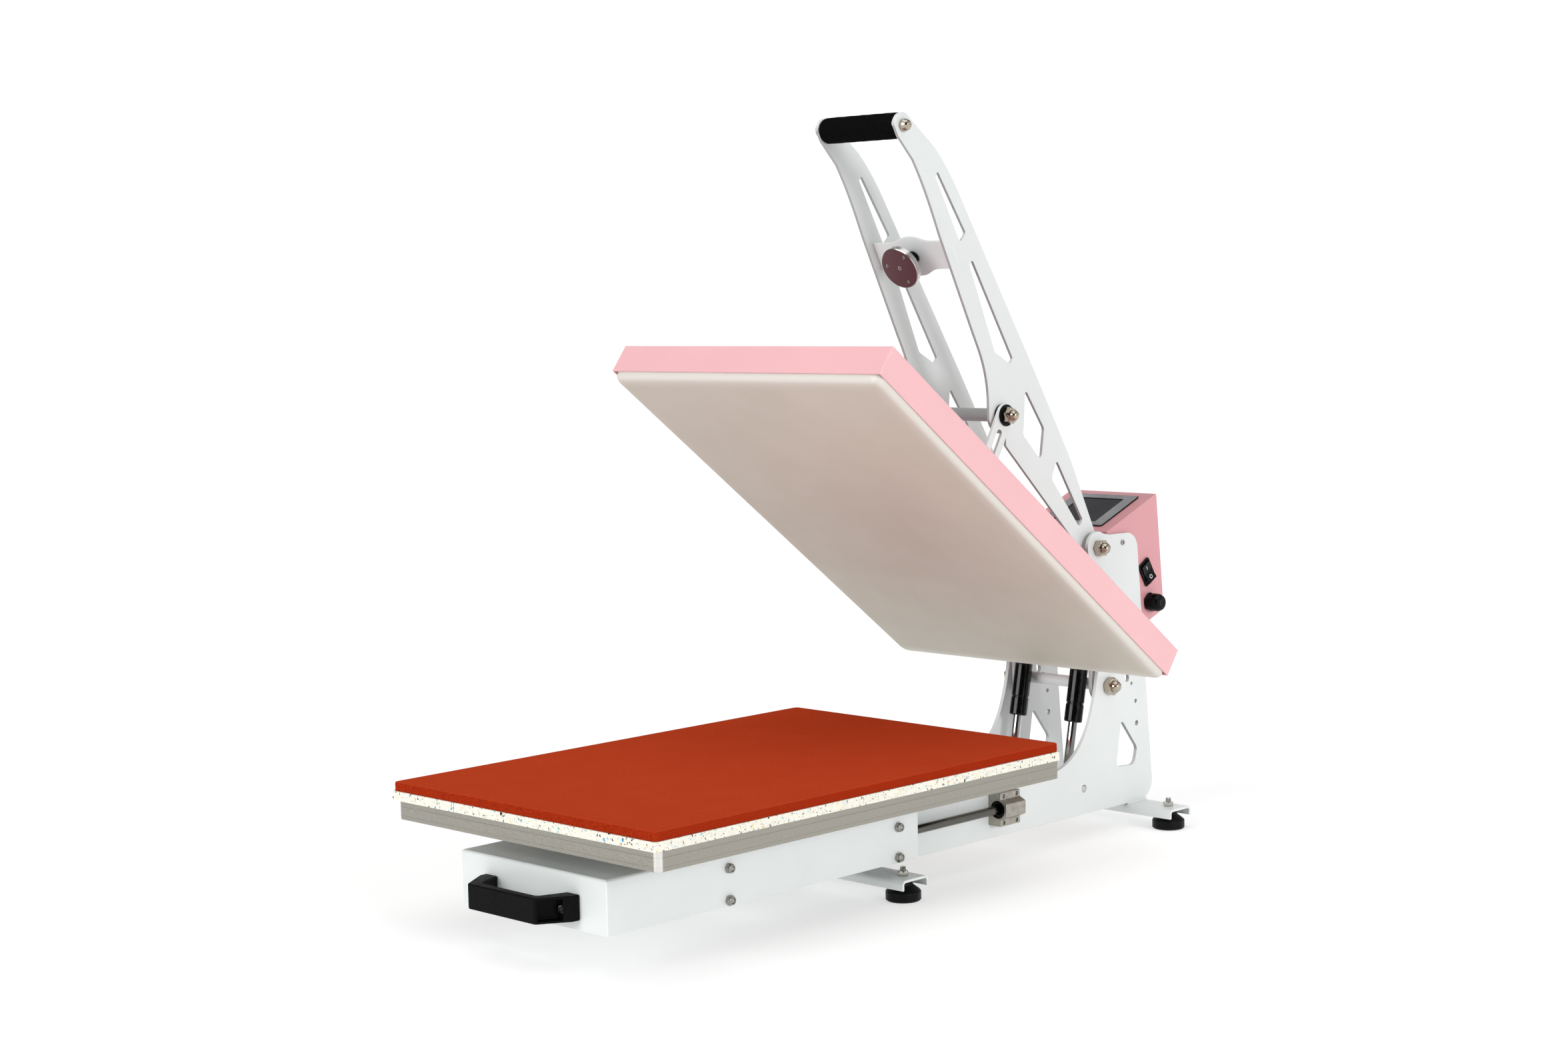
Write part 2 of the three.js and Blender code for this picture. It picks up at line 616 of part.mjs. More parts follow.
function pressureKnob() {
  const base = COVER_TOP_Z + GAP + 26;
  const lobes = new THREE.Shape();
  for (let i = 0; i < 36; i++) {
    const a = (i / 36) * 2 * Math.PI;
    const r = 19 + 2.6 * Math.cos(6 * a);
    if (i === 0) lobes.moveTo(r, 0);
    else lobes.lineTo(r * Math.cos(a), r * Math.sin(a));
  }
  lobes.closePath();
  const stem = turned([
    [0, base - 20], [5.5, base - 20], [5.5, base + 1], [9, base + 1], [11, base + 12], [11, base + 25],
    [8, base + 27], [0, base + 27],
  ], 12);
  return join([alongZ(lobes, base + 9, base + 24, 1), stem]).translate(0, PRESSURE_Y, 0);
}

function addPlaten(machine) {
  const platen = pivotGroup(machine, PLATEN_PIVOT, -PLATEN_OPEN);
  place(platen, 'platen_cover', platenCover(), 'pink_paint');
  const inset = 2 + CLOTH_SHEET + GAP;
  place(platen, 'heat_plate', platenSlab(inset, CLOTH_Z + CLOTH_SHEET + GAP, RIM_Z + 14, 12.9), 'aluminium');
  place(platen, 'heat_cloth', clothTray(), 'cloth');
  placePair(platen, 'platen_arm', platenArm(), 'white_paint');
  place(platen, 'pressure_channel', channelBetweenArms(PRESSURE_Y, 26, 5.8), 'white_paint');
  place(platen, 'magnet_channel', channelBetweenArms(MAGNET_Y, 29, 4), 'white_paint');
  const magnetBase = COVER_TOP_Z + 29 + 2 * GAP;
  const magnet = turned([
    [0, magnetBase], [25, magnetBase], [25, MAGNET_TOP_Z], [13, MAGNET_TOP_Z], [13, MAGNET_TOP_Z - 0.6],
    [9, MAGNET_TOP_Z - 0.6], [9, MAGNET_TOP_Z], [0, MAGNET_TOP_Z],
  ], 20);
  place(platen, 'electromagnet', magnet.translate(0, MAGNET_Y, 0), 'steel');
  place(platen, 'pressure_knob', pressureKnob(), 'black_plastic');
  const sleeveEnd = PLATEN_ARM_X[0] - GAP;
  place(platen, 'platen_pivot_sleeve', ring(7, 5.4, -sleeveEnd, sleeveEnd).rotateY(Math.PI / 2), 'white_paint');
  const pin = turnedX([[0, -61.4], [4, -61.4], [4, 61.4], [0, 61.4]], 12).translate(0, ...STRUT_TOP_LOCAL);
  place(platen, 'strut_top_pin', pin, 'steel');
}

// ---------------------------------------------------------------- handle and links
function handleArm() {
  const [gy, gz] = GRIP_CENTRE;
  const [ay, az] = HANDLE_PIVOT;
  const shape = new THREE.Shape();
  shape.moveTo(gy - 14, gz);
  shape.absarc(gy, gz, 14.2, Math.PI * 1.02, Math.PI * 0.22, true);
  shape.lineTo(572, 811);
  curveTo(shape, [592, 791], [606, 771], [620, 748], 4);
  shape.lineTo(742, 557);
  shape.lineTo(806, 453);
  shape.lineTo(ay + 14, az + 8);
  shape.absarc(ay, az, 14, 0.35, -2.25, true);
  shape.lineTo(688, 474);
  shape.absarc(LINK_PIVOT[0], LINK_PIVOT[1], 21, -1.2, -2.95, true);
  shape.lineTo(658.5, 530);
  curveTo(shape, [656, 565], [645, 583], [634, 604], 5);
  shape.lineTo(578, 716);
  curveTo(shape, [560, 757], [550, 775], [536, 797], 4);
  shape.lineTo(512, 822);
  shape.holes = [
    hole([[576, 785, 1.8], [622.5, 717, 4], [612, 706.5, 3.6], [572, 780, 1.8]]),
    hole([[632.5, 688, 2.5], [702, 574, 3], [697, 568, 3], [670.5, 582, 8], [628, 681, 2.5]]),
    hole([[724, 538, 2], [757.5, 491, 8], [751.5, 453.5, 3.5], [719.5, 485, 8]]),
    hole([[780, 453, 3], [828, 378.5, 3], [822, 370, 3], [770.5, 431, 8]]),
    roundHole(gy, gz, 4.3, 10),
    roundHole(...LINK_PIVOT, 5.3),
    roundHole(...HANDLE_PIVOT, 5.3),
  ];
  return alongX(shape, ...ARM_X);
}

// Contoured plate between the arms that carries the armature disc, drawn lying flat.
function armaturePlate() {
  const end = ARM_X[0] - GAP;
  const shape = new THREE.Shape();
  shape.moveTo(-end, -18);
  shape.lineTo(-32, -18);
  curveTo(shape, [-18, -18], [-15, -24.5], [0, -24.5], 4);
  curveTo(shape, [15, -24.5], [18, -18], [32, -18], 4);
  shape.lineTo(end, -18);
  shape.lineTo(end, 16.5);
  shape.lineTo(30, 16.5);
  curveTo(shape, [17, 17], [17, 24], [0, 24.5], 4);
  curveTo(shape, [-17, 24], [-17, 17], [-30, 16.5], 4);
  shape.lineTo(-end, 16.5);
  return alongZ(shape, -1.5, 1.5);
}

function armature() {
  const face = -30;
  const back = face + 7;
  const collar = -1.5 - GAP;
  const disc = turned([
    [0, face], [ARMATURE_R, face], [ARMATURE_R, back], [6, back], [6, collar], [0, collar],
  ], 24);
  const holes = [0, 1, 2].map((i) => {
    const a = THREE.MathUtils.degToRad(71 + 120 * i);
    return turned([[0, face - 1], [2.4, face - 1], [2.4, face + 4], [0, face + 4]], 8)
      .translate(18 * Math.cos(a), 18 * Math.sin(a), 0);
  });
  holes.push(turned([[0, face - 1], [3, face - 1], [3, face + 3], [0, face + 3]], 8));
  return cut(disc, holes);
}

function linkPlate() {
  const half = 13;
  const fillet = half - 0.1;
  const c = Math.cos(LINK_ANGLE);
  const s = Math.sin(LINK_ANGLE);
  const at = (t, o, r) => [c * t - s * o, s * t + c * o, r];
  const shape = outline([
    at(-half, -half, fillet), at(-half, half, fillet), at(LINK_LENGTH + half, half, fillet),
    at(LINK_LENGTH + half, -half, fillet),
  ], [
    hole([at(19, -4.2, 4.1), at(19, 4.2, 4.1), at(86, 4.2, 4.1), at(86, -4.2, 4.1)]),
    roundHole(0, 0, 7.3),
  ]);
  return alongX(shape, ...LINK_X).translate(0, ...LINK_PIVOT);
}

function linkBushing() {
  const inner = ARM_X[1] + GAP;
  const outer = LINK_X[1] + 1.8;
  const bush = turnedX([
    [5.3, inner], [12.5, inner], [12.5, LINK_X[0] - GAP], [7, LINK_X[0] - GAP], [7, LINK_X[1] + GAP],
    [12.5, LINK_X[1] + GAP], [12.5, outer], [5.3, outer], [5.3, inner],
  ]);
  return bush.translate(0, ...LINK_PIVOT);
}

function addHandle(machine) {
  placePair(machine, 'handle_arm', handleArm(), 'white_paint');
  const grip = ring(GRIP_R, 4.4, -ARM_X[0] + GAP, ARM_X[0] - GAP, 20).rotateY(Math.PI / 2);
  place(machine, 'handle_grip', grip.translate(0, ...GRIP_CENTRE), 'grip_foam');
  place(machine, 'grip_tie_rod', cappedAxle(4, ARM_X[1] + GAP, 14).translate(0, ...GRIP_CENTRE), 'nickel');
  const plateGroup = pivotGroup(machine, [602.5, 692.9], -HANDLE_SWING);
  place(plateGroup, 'armature_plate', armaturePlate(), 'white_paint');
  place(plateGroup, 'armature_disc', armature(), 'steel');
  const sleeveEnd = ARM_X[0] - GAP;
  const sleeve = ring(7.7, 5.3, -sleeveEnd, sleeveEnd).rotateY(Math.PI / 2);
  place(machine, 'link_pivot_sleeve', sleeve.translate(0, ...LINK_PIVOT), 'grey_paint');
  place(machine, 'link_axle', cappedAxle(5, LINK_X[1] + 1.8 + GAP, 17).translate(0, ...LINK_PIVOT), 'nickel');
  placePair(machine, 'link_bushing', linkBushing(), 'black_plastic');
  placePair(machine, 'toggle_link', linkPlate(), 'white_paint');
}

// ---------------------------------------------------------------- gas struts
// Both halves are drawn standing on the foot pin and leaned over by their group.
function strutTop() {
  const c = Math.cos(PLATEN_OPEN);
  const s = Math.sin(PLATEN_OPEN);
  const [y, z] = STRUT_TOP_LOCAL;
  return [PLATEN_PIVOT[0] + y * c + z * s, PLATEN_PIVOT[1] - y * s + z * c];
}

function eye(height, width) {
  return ring(9, 4.4, -width / 2, width / 2, 12).rotateY(Math.PI / 2).translate(0, 0, height);
}

function strutRod() {
  const rod = turned([[0, 7], [6, 7], [6, 18], [5.5, 18], [5.5, 117], [0, 117]], 12);
  return join([rod, eye(0, 12)]).translate(STRUT_X, 0, 0);
}

function strutBarrel(length) {
  const start = STRUT_BARREL_START;
  const end = length - 16;
  const barrel = turned([
    [0, end - 6], [6.9, end - 6], [6.9, start], [10.5, start], [10.5, start + 21], [9.8, start + 21.6],
    [9.8, start + 23.4], [10.5, start + 24], [10.5, end - 3], [6, end], [6, length - 7], [0, length - 7],
  ], 14);
  return join([barrel, eye(length, 12)]).translate(STRUT_X, 0, 0);
}

function addStruts(machine) {
  const top = strutTop();
  const run = [top[0] - STRUT_FOOT[0], top[1] - STRUT_FOOT[1]];
  const lean = pivotGroup(machine, STRUT_FOOT, Math.atan2(run[1], run[0]) - Math.PI / 2);
  placePair(lean, 'strut_rod', strutRod(), 'chrome');
  placePair(lean, 'strut_barrel', strutBarrel(Math.hypot(...run)), 'black_paint');
}

// ---------------------------------------------------------------- assembly
const machine = new THREE.Group();
machine.name = 'heat_press';
addFrame(machine);
addControlBox(machine);
addDrawer(machine);
addPlaten(machine);
addHandle(machine);
addStruts(machine);

const REAR_Y = 979;
const FRONT_Y = DRAWER_Y[0] - GAP - 35.5;
machine.position.y = -(REAR_Y + FRONT_Y) / 2;

export default machine;
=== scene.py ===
"""Heat press: the looks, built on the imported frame.

Shapes are given in millimetres in the machine's own layout (X across, Y back from the front edge of
the drawn-out bed, Z up) and are turned into metres in the frame's coordinates when a mesh is made.
"""
from math import atan2, ceil, cos, degrees, dist, hypot, pi, radians, sin, sqrt, tan

import bmesh
import bpy
from mathutils import Matrix, Vector, noise


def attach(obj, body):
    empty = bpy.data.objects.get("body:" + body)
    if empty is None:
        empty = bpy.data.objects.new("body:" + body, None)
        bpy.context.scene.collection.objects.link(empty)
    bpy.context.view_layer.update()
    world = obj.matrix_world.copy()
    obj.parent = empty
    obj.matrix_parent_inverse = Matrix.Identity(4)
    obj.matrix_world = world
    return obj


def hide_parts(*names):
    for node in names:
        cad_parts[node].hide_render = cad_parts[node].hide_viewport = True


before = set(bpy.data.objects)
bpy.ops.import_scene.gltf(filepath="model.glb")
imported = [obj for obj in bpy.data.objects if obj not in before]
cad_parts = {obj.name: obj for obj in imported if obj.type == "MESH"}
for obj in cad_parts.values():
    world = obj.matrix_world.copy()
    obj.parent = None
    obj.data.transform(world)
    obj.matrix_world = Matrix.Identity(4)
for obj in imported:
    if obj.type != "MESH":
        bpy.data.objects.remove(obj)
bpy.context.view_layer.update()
COLLECTION = bpy.context.scene.collection
Y_SHIFT = -479.6

# ---------------- layout shared with the frame
SIDE_SHEET_X = (66, 71)
LEVER_X = (55.5, 59.5)
ARM_X = (56.5, 61.5)
LINK_X = (62.6, 66.6)
HANDLE_PIVOT = (842.5, 344)
PLATEN_PIVOT = (859.5, 176)
LINK_PIVOT = (679.5, 510)
LINK_ANGLE = radians(-120.6)
LINK_LENGTH = 105
GRIP = (519.5, 834)
STRUT_FOOT = (811, 58)
STRUT_TOP = (849.6, 242.02)
STRUT_HOLE = (-47.8, 46.6)
PIVOT_HOLE = 5.3
OPEN = radians(37.2)
SWING = radians(62.5)
ROD = (84.3, 62.3)
FOOT_TOP = 26.7
BLOCK_Y = (634, 669)
FRAME_Z = (117.3, 137.4)
FOAM_Z = (137.6, 147.5)
SILICONE_Z = (147.7, 157.0)
COVER_HALF = 202
COVER_REAR = -65.5
COVER_FRONT = -669.5
COVER_MIDDLE = (COVER_FRONT + COVER_REAR) / 2
RIM_Z = -10.7
COVER_TOP = 23.7
CLOTH_Z = -18.7
CLOTH_SPAN = [(PLATEN_PIVOT[0] + Y_SHIFT + y) * 0.001 for y in (COVER_FRONT + 2, COVER_REAR - 2)]
PRESSURE_Y = -367.5
MAGNET_Y = -436.7


# ---------------- outlines
def polar(radius, angle):
    """Point at a distance, angle in degrees."""
    return radius * cos(radians(angle)), radius * sin(radians(angle))


def arc(cx, cy, r, start, end, step=7.5):
    """Points on an arc, angles in degrees."""
    count = max(1, ceil(abs(end - start) / step))
    angles = [radians(start + (end - start) * i / count) for i in range(count + 1)]
    return [(cx + r * cos(a), cy + r * sin(a)) for a in angles]


def bezier(p0, p1, p2, p3, count=14):
    """Cubic curve after its first point."""
    out = []
    for i in range(1, count + 1):
        t = i / count
        weights = ((1 - t) ** 3, 3 * t * (1 - t) ** 2, 3 * t * t * (1 - t), t ** 3)
        out.append(tuple(sum(k * p[j] for k, p in zip(weights, (p0, p1, p2, p3))) for j in (0, 1)))
    return out


def rounded(corners, closed=True, step=11.25):
    """Outline through (a, b, radius) corners, each radius as an arc."""
    out = []
    last = len(corners) - 1
    for i, corner in enumerate(corners):
        here = Vector(corner[:2])
        radius = corner[2] if len(corner) > 2 else 0
        if radius == 0 or (not closed and i in (0, last)):
            out.append(tuple(here))
            continue
        into = (here - Vector(corners[i - 1][:2])).normalized()
        away = (Vector(corners[(i + 1) % len(corners)][:2]) - here).normalized()
        turn = atan2(into.cross(away), into.dot(away))
        reach = radius * tan(abs(turn) / 2)
        side = 1 if turn > 0 else -1
        centre = here - into * reach + Vector((-into.y, into.x)) * radius * side
        first = degrees(atan2(*(here - into * reach - centre).yx))
        out += arc(centre.x, centre.y, radius, first, first + degrees(turn), step)
    return out


def panel(a0, a1, b0, b1, r, step=11.25):
    """Rectangle with rounded corners."""
    return rounded([(a0, b0, r), (a1, b0, r), (a1, b1, r), (a0, b1, r)], step=step)


def channel(a0, a1, low, top, sheet, edge_r, inner_r, outer_r):
    """Section of a folded channel, open underneath."""
    inner0, inner1, under = a0 + sheet, a1 - sheet, top - sheet
    return rounded([
        (a0, low, edge_r), (inner0, low, edge_r), (inner0, under, inner_r), (inner1, under, inner_r),
        (inner1, low, edge_r), (a1, low, edge_r), (a1, top, outer_r), (a0, top, outer_r),
    ])


def circle(a, b, r, count=40):
    angles = [2 * pi * i / count for i in range(count)]
    return [(a + r * cos(t), b + r * sin(t)) for t in angles]


def level_rings(outline, levels):
    """The outline at each (z, inset), for a loft."""
    return [[(a, b, z) for a, b in outline(inset)] for z, inset in levels]


def split_sides(path, parts):
    """Closed outline with more points on its long sides; parts gives the runs for a length."""
    out = []
    for (a, b), (c, d) in zip(path, path[1:] + path[:1]):
        count = parts(dist((a, b), (c, d)))
        out += [(a + (c - a) * t, b + (d - b) * t) for t in (k / count for k in range(count))]
    return out


# ---------------- placing
def rotate(angle, axis):
    return Matrix.Rotation(radians(angle), 4, axis)


def pivot(point, angle):
    return move((0, *point)) @ Matrix.Rotation(angle, 4, "X")


move = Matrix.Translation
UNMOVED = Matrix.Identity(4)
MIRROR = Matrix.Diagonal((-1, 1, 1, 1))
SIDES = (("right", UNMOVED), ("left", MIRROR))
PLANES = {
    "X": Matrix(((0, 0, 1, 0), (1, 0, 0, 0), (0, 1, 0, 0), (0, 0, 0, 1))),
    "Y": Matrix(((1, 0, 0, 0), (0, 0, -1, 0), (0, 1, 0, 0), (0, 0, 0, 1))),
    "Z": UNMOVED,
}
SPINS = {"X": rotate(90, "Y"), "Y": rotate(-90, "X"), "Z": UNMOVED}
PLATEN = pivot(PLATEN_PIVOT, -OPEN)
ARMATURE = pivot((602.5, 692.9), -SWING)
STRUT_RUN = Vector(STRUT_TOP) - Vector(STRUT_FOOT)
STRUT = pivot(STRUT_FOOT, atan2(STRUT_RUN.y, STRUT_RUN.x) - pi / 2)
FACE = pivot((867, 361), atan2(39.4, 100))
SWITCH = move((65.5, 944.5, 305.5)) @ rotate(31, "X")
TO_FRAME = Matrix.Scale(0.001, 4) @ move((0, Y_SHIFT, 0))


def make(name, mesh, body, finish, replaces=None, where=UNMOVED, sharp=32, weighted=True):
    """Puts a finished millimetre mesh into the scene, in metres, riding on its body."""
    material, slot = finish
    matrix = TO_FRAME @ where
    mesh.transform(matrix)
    if matrix.determinant() < 0:
        mesh.flip_normals()
    mesh.name = name
    mesh.shade_smooth()
    mesh.set_sharp_from_angle(angle=radians(sharp))
    mesh.materials.append(material)
    piece = bpy.data.objects.new(name, mesh)
    COLLECTION.objects.link(piece)
    if weighted:
        normals = piece.modifiers.new("weighted_normals", "WEIGHTED_NORMAL")
        normals.keep_sharp = True
        normals.weight = 80
    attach(piece, body)
    if replaces:
        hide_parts(replaces)
    return piece


# ---------------- meshes
WELD = 0.001
OUTLINE_WELD = 0.002


def to_mesh(bm):
    mesh = bpy.data.meshes.new("mesh")
    bm.to_mesh(mesh)
    bm.free()
    return mesh


def welded(bm):
    """Mesh with its shared points joined and its faces turned outwards."""
    bmesh.ops.remove_doubles(bm, verts=bm.verts, dist=WELD)
    bmesh.ops.recalc_face_normals(bm, faces=bm.faces)
    return to_mesh(bm)


def into_bmesh(*meshes):
    """Everything in the meshes, which are used up."""
    bm = bmesh.new()
    for mesh in meshes:
        bm.from_mesh(mesh)
        bpy.data.meshes.remove(mesh)
    return bm


def merged(*meshes):
    return to_mesh(into_bmesh(*meshes))


def both_sides(mesh):
    """The mesh and its mirror image across the machine."""
    other = mesh.copy()
    other.transform(MIRROR)
    other.flip_normals()
    return mesh, other


def loft(rings, cap_last=True):
    """Skin over rings of 3-D points with the same count, closed at the first ring."""
    bm = bmesh.new()
    made = [[bm.verts.new(p) for p in ring] for ring in rings]
    count = len(rings[0])
    for lower, upper in zip(made, made[1:]):
        for i in range(count):
            bm.faces.new((lower[i], lower[(i + 1) % count], upper[(i + 1) % count], upper[i]))
    bm.faces.new(reversed(made[0]))
    if cap_last:
        bm.faces.new(made[-1])
    return welded(bm)


def boolean(base, tools):
    """Cuts the tool meshes from the base mesh."""
    carrier = bpy.data.objects.new("base", base)
    COLLECTION.objects.link(carrier)
    helpers = []
    for tool in tools:
        helper = bpy.data.objects.new("tool", tool)
        COLLECTION.objects.link(helper)
        helpers.append(helper)
        step = carrier.modifiers.new("cut", "BOOLEAN")
        step.operation = "DIFFERENCE"
        step.solver = "EXACT"
        step.object = helper
    graph = bpy.context.evaluated_depsgraph_get()
    out = bpy.data.meshes.new_from_object(carrier.evaluated_get(graph))
    for obj in [carrier, *helpers]:
        data = obj.data
        bpy.data.objects.remove(obj)
        bpy.data.meshes.remove(data)
    return welded(into_bmesh(out))


# ---------------- solids
def plate(outer, holes, low, high, bevel=0.6, axis="X"):
    """Sheet cut to an outline, with eased edges, as thick as low to high along axis."""
    data = bpy.data.curves.new("cut", "CURVE")
    data.dimensions = "2D"
    data.fill_mode = "BOTH"
    data.extrude = (high - low) / 2 - bevel
    data.bevel_depth = bevel
    data.bevel_resolution = 2
    data.offset = -bevel
    for loop in [outer, *holes]:
        spline = data.splines.new("POLY")
        spline.points.add(len(loop) - 1)
        for point, (a, b) in zip(spline.points, loop):
            point.co = (a, b, 0, 1)
        spline.use_cyclic_u = True
    carrier = bpy.data.objects.new("cut", data)
    bm = into_bmesh(bpy.data.meshes.new_from_object(carrier))
    bpy.data.objects.remove(carrier)
    bpy.data.curves.remove(data)
    bmesh.ops.remove_doubles(bm, verts=bm.verts, dist=OUTLINE_WELD)
    bmesh.ops.dissolve_limit(bm, angle_limit=0.001, verts=bm.verts, edges=bm.edges)
    bmesh.ops.recalc_face_normals(bm, faces=bm.faces)
    bm.transform(PLANES[axis] @ move((0, 0, (low + high) / 2)))
    if axis == "Y":
        bm.transform(move((0, low + high, 0)))
    return to_mesh(bm)


def turned(profile, segments=48, axis="Z", at=(0, 0, 0), closed=False):
    """Solid of revolution from (radius, height, fillet) corners."""
    bm = bmesh.new()
    rings = []
    for r, h in rounded(profile, closed=closed, step=18):
        if r < 1e-6:
            rings.append([bm.verts.new((0, 0, h))] * segments)
        else:
            rings.append([bm.verts.new((x, y, h)) for x, y in circle(0, 0, r, segments)])
    following = rings[1:] + rings[:1] if closed else rings[1:]
    for lower, upper in zip(rings, following):
        for i in range(segments):
            after = (i + 1) % segments
            unique = list(dict.fromkeys([lower[i], lower[after], upper[after], upper[i]]))
            if len(unique) > 2:
                bm.faces.new(unique)
    bm.transform(move(at) @ SPINS[axis])
    return welded(bm)


def cylinder(radius, low, high, segments=40, axis="Z", at=(0, 0, 0)):
    return turned([(0, low), (radius, low), (radius, high), (0, high)], segments, axis, at)


def block(x, y, z):
    """Bmesh of a plain box, each side as a pair of coordinates."""
    bm = bmesh.new()
    bmesh.ops.create_cube(bm, size=1)
    centre = [sum(span) / 2 for span in (x, y, z)]
    size = [high - low for low, high in (x, y, z)]
    bm.transform(move(centre) @ Matrix.Diagonal((*size, 1)))
    return bm


def bevel_edges(bm, edges, radius, segments):
    bmesh.ops.bevel(bm, geom=edges, offset=radius, segments=segments, profile=0.5, affect="EDGES")


def bevelled_box(x, y, z, r):
    bm = block(x, y, z)
    bevel_edges(bm, bm.edges[:], r, 3)
    return welded(bm)


def hex_body(across, low, high, axis="X", at=(0, 0, 0), turn=0):
    """Hexagon whose corners are turned off by a cone, like a real nut."""
    flat = across / 2
    corners = [polar(across / sqrt(3), 60 * i + turn) for i in range(6)]
    outline = split_sides(corners, lambda length: 6)
    rings = []
    for h, sunk in ((low, 0), (low + 0.8, 1), (high - 0.8, -1), (high, 0)):
        ring = []
        for x, y in outline:
            reach = hypot(x, y)
            k = 1 if sunk else min(1, flat * 0.97 / reach)
            ring.append((x * k, y * k, h + (reach - flat) * 0.55 * sunk))
        rings.append(ring)
    mesh = loft(rings)
    mesh.transform(move(at) @ SPINS[axis])
    return mesh


# ---------------- materials
def add_node(tree, kind, inputs=None, **settings):
    """New node; an input is given as a value or as the socket that feeds it."""
    made = tree.nodes.new(kind)
    for key, value in settings.items():
        setattr(made, key, value)
    for key, value in (inputs or {}).items():
        if isinstance(value, bpy.types.NodeSocket):
            tree.links.new(value, made.inputs[key])
        else:
            made.inputs[key].default_value = value
    return made


class Shade:
    """A Principled material that is built up with procedural nodes."""

    def __init__(self, name, colour, roughness, metallic=0.0, **sockets):
        self.material = bpy.data.materials.new(name)
        self.material.use_nodes = True
        self.tree = self.material.node_tree
        self.bsdf = self.tree.nodes["Principled BSDF"]
        self.set("Base Color", (*colour, 1))
        self.set("Roughness", roughness)
        self.set("Metallic", metallic)
        for socket, value in sockets.items():
            self.set(socket.replace("_", " "), value)
        self.coords = self.node("ShaderNodeTexCoord").outputs["Object"]
        self.normal = None

    def set(self, socket, value):
        self.bsdf.inputs[socket].default_value = value

    def node(self, kind, inputs=None, **settings):
        return add_node(self.tree, kind, inputs, **settings)

    def drive(self, socket, value):
        self.tree.links.new(value, self.bsdf.inputs[socket])

    def stretched(self, scale):
        return self.node("ShaderNodeMapping", {"Vector": self.coords, "Scale": scale}).outputs["Vector"]

    def parts(self, vector):
        """X, Y and Z of a vector."""
        return self.node("ShaderNodeSeparateXYZ", {"Vector": vector}).outputs

    def surface(self):
        """X, Y and Z of the surface normal."""
        return self.parts(self.node("ShaderNodeNewGeometry").outputs["Normal"])

    def noise(self, scale, detail=2.0, rough=0.5, vector=None, output="Fac"):
        inputs = {"Vector": vector or self.coords, "Scale": scale, "Detail": detail, "Roughness": rough}
        return self.node("ShaderNodeTexNoise", inputs).outputs[output]

    def cells(self, scale, vector=None):
        inputs = {"Vector": vector or self.coords, "Scale": scale}
        return self.node("ShaderNodeTexVoronoi", inputs).outputs

    def spread(self, value, low, high, to_low=0.0, to_high=1.0):
        """Low to high stretched to the new range and held at its ends."""
        inputs = {"Value": value, "From Min": low, "From Max": high, "To Min": to_low, "To Max": to_high}
        return self.node("ShaderNodeMapRange", inputs).outputs["Result"]

    def patches(self, scale, detail=2.0, rough=0.5, to_low=0.0, to_high=1.0):
        """Soft clouds between the two values."""
        return self.spread(self.noise(scale, detail, rough), 0.3, 0.7, to_low, to_high)

    def steps(self, value, stops):
        """The colour of the last (position, colour) stop that the value has passed."""
        made = self.node("ShaderNodeValToRGB", {"Fac": value})
        made.color_ramp.interpolation = "CONSTANT"
        while len(made.color_ramp.elements) < len(stops):
            made.color_ramp.elements.new(1.0)
        for element, (place, colour) in zip(made.color_ramp.elements, stops):
            element.position = place
            element.color = (*colour, 1)
        return made.outputs["Color"]

    def mix(self, share, first, second):
        inputs = {0: share}
        for index, value in ((6, first), (7, second)):
            inputs[index] = value if isinstance(value, bpy.types.NodeSocket) else (*value, 1)
        return self.node("ShaderNodeMix", inputs, data_type="RGBA").outputs[2]

    def shades(self, share, colour, dark, light):
        """The colour tinted from dark to light."""
        return self.mix(share, tint(colour, dark), tint(colour, light))

    def maths(self, operation, first, second=0.0):
        return self.node("ShaderNodeMath", {0: first, 1: second}, operation=operation).outputs["Value"]

    def product(self, first, second):
        return self.maths("MULTIPLY", first, second)

    def bump(self, height, distance, strength):
        """Relief on top of any relief added before."""
        inputs = {"Height": height, "Distance": distance, "Strength": strength}
        if self.normal is not None:
            inputs["Normal"] = self.normal
        self.normal = self.node("ShaderNodeBump", inputs).outputs["Normal"]
        self.drive("Normal", self.normal)


def tint(colour, k):
    return tuple(min(1.0, c * k) for c in colour)


def powder_coat(name, colour, roughness=0.38, cut=False):
    """Baked powder: faint cloudiness, orange peel and pin-head texture.

    On cut sheet the edges that face down are painted darker: painted shade under the edges.
    """
    m = Shade(name, colour, roughness, Coat_Weight=0.25, Coat_Roughness=0.22)
    cloud = m.patches(9, 4, 0.55)
    tone = m.shades(cloud, colour, 0.965, 1.02)
    # Painted shade: sheet edges that face down are mixed towards half the colour.
    if cut:
        normal = m.surface()
        edge = m.spread(m.maths("ABSOLUTE", normal["X"]), 0.9, 0.4)
        under = m.spread(normal["Z"], 0.45, -0.2)
        tone = m.mix(m.product(edge, under), tone, tint(colour, 0.5))
    m.drive("Base Color", tone)
    m.drive("Roughness", m.spread(m.noise(120, 3), 0.25, 0.75, roughness - 0.05, roughness + 0.07))
    m.bump(m.noise(420, 1.5, 0.5), 0.00006, 0.5)
    m.bump(m.noise(1800, 2, 0.6), 0.00003, 0.35)
    return m.material


